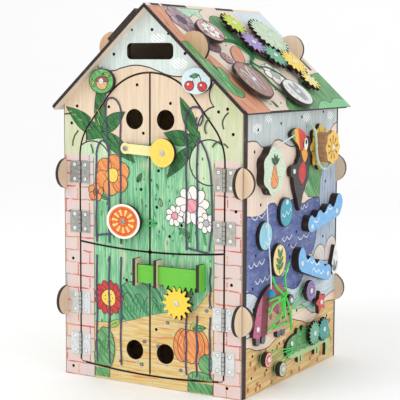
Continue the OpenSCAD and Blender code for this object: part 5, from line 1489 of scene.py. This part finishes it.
d.leaf(214, -68, 14, 5, 195, "dkgreen", 0)
d.flower(34, -112, 27, 8, "mauve", "plum", 10, 0.55)
d.stem([(52, -122), (74, -126), (98, -112)], "mauve", 5.0)
d.leaf(70, -124, 26, 11, 100, "mauve", 2)
d.leaf(80, -122, 22, 10, -60, "mauve", 2)
d.fill(rounded([(90.6, -40.9), (88, -30), (92, -21), (108, -30), (120, -41), (128, -60), (122, -69), (110, -64.5), (98, -54)]), "terra", "ink", 1.0)
d.fill(rounded([(72, -120), (78, -104), (83, -76), (95, -78), (102, -96), (94, -113), (84, -124)]), "umber", "ink", 1.0)
for k in range(4):
    d.stroke([(78 + k * 5, -116 + k * 2), (83 + k * 4.6, -100), (86 + k * 3.6, -84)], "mauve", 1.3, True)
d.flower(114, -86, 12, 6, "mauve", "terra", 20, 0.6)
d.flower(150, 12, 25, 7, "white", "grey", 10, 0.5)
for u, v in ((150, -46), (186, -46), (44, -48), (90, -112)):
    d.leaf(u, v, 13, 5, u * 3, "brown", 1)
d.done()
for nm, body, cu, cv, h, cc in (("pink", "roof_disc_pink_body", 70, -91, 14.0, "white"), ("brown", "roof_disc_brown_body", 168, -92, 11.0, "tan"), ("grey", "roof_disc_grey_body", 196, 6, 11.0, "grey")):
    d = Sheet("motif_disc_" + nm, body, on_roof, h)
    if nm == "brown":
        for du, dv, l, w, a in ((-30, 10, 56, 17, -4), (-24, -12, 50, 15, 6)):
            d.leaf(cu + du, cv + dv, l, w, a, "stone", 0)
            d.leaf(cu + du + 8, cv + dv, l - 16, w * 0.5, a, "mauve", 0)
        for k in range(4):
            d.stroke([(cu - 26 + k * 13, cv - 22), (cu - 22 + k * 13, cv - 24.5), (cu - 17 + k * 13, cv - 24)], "stone", 1.6, True)
    elif nm == "grey":
        for du, dv, l, w, a in ((-20, 12, 40, 12, -8), (-18, -6, 38, 12, 8)):
            d.leaf(cu + du, cv + dv, l, w, a, "grey", 0)
        for k in range(3):
            d.stroke([(cu - 16 + k * 13, cv - 20), (cu - 11 + k * 13, cv - 23), (cu - 6 + k * 13, cv - 21)], "ink", 1.2, True)
    else:
        d.flower(cu, cv, 17, 7, cc, "pink", 15, 0.5)
        for a in (40, 160, 280):
            d.leaf(cu + 14 * math.cos(math.radians(a)), cv + 14 * math.sin(math.radians(a)), 11, 5, a, "mauve", 1)
    d.done()

# ------------------------------------------------------------------ floor and light
def floor():
    me = bpy.data.meshes.new("floor_sheet")
    prof = [(-3.0, 0.0)] + [(2.2 + 1.2 * math.sin(a * math.pi / 24), 1.2 - 1.2 * math.cos(a * math.pi / 24)) for a in range(13)] + [(3.4, 4.0)]
    vs, fs = [], []
    for x in (-4.0, 4.0):
        for y, z in prof:
            vs.append((x, y, z))
    n = len(prof)
    for i in range(n - 1):
        fs.append((i, n + i, n + i + 1, i + 1))
    me.from_pydata(vs, [], fs)
    for p in me.polygons:
        p.use_smooth = True
    o = bpy.data.objects.new("stage_floor", me)
    scene.collection.objects.link(o)
    mat = Mat("stage_white")
    n1 = noise3(mat.p, 6, 2)
    mat.color(mixc((253, 253, 253), (255, 255, 255), n1))
    mat.rough(op("MULTIPLY_ADD", n1, 0.1, 0.6))
    me.materials.append(mat.m)
    o.location = (0, 0, -0.0004)


floor()
world = bpy.data.worlds.new("studio")
scene.world = world
world.use_nodes = True
bg = world.node_tree.nodes["Background"]
bg.inputs[0].default_value = (1, 1, 1, 1)
bg.inputs[1].default_value = 0.92


def area(name, loc, aim, size, power):
    l = bpy.data.lights.new(name, "AREA")
    l.energy = power
    l.size = size
    o = bpy.data.objects.new(name, l)
    scene.collection.objects.link(o)
    o.location = loc
    o.rotation_euler = (Vector(aim) - Vector(loc)).to_track_quat("-Z", "Y").to_euler()


area("key", (-0.9, -2.0, 2.2), (0, 0, 0.28), 1.6, 19)
area("fill", (2.2, -0.9, 1.2), (0, 0, 0.25), 1.8, 9)
scene.view_settings.view_transform = "Standard"
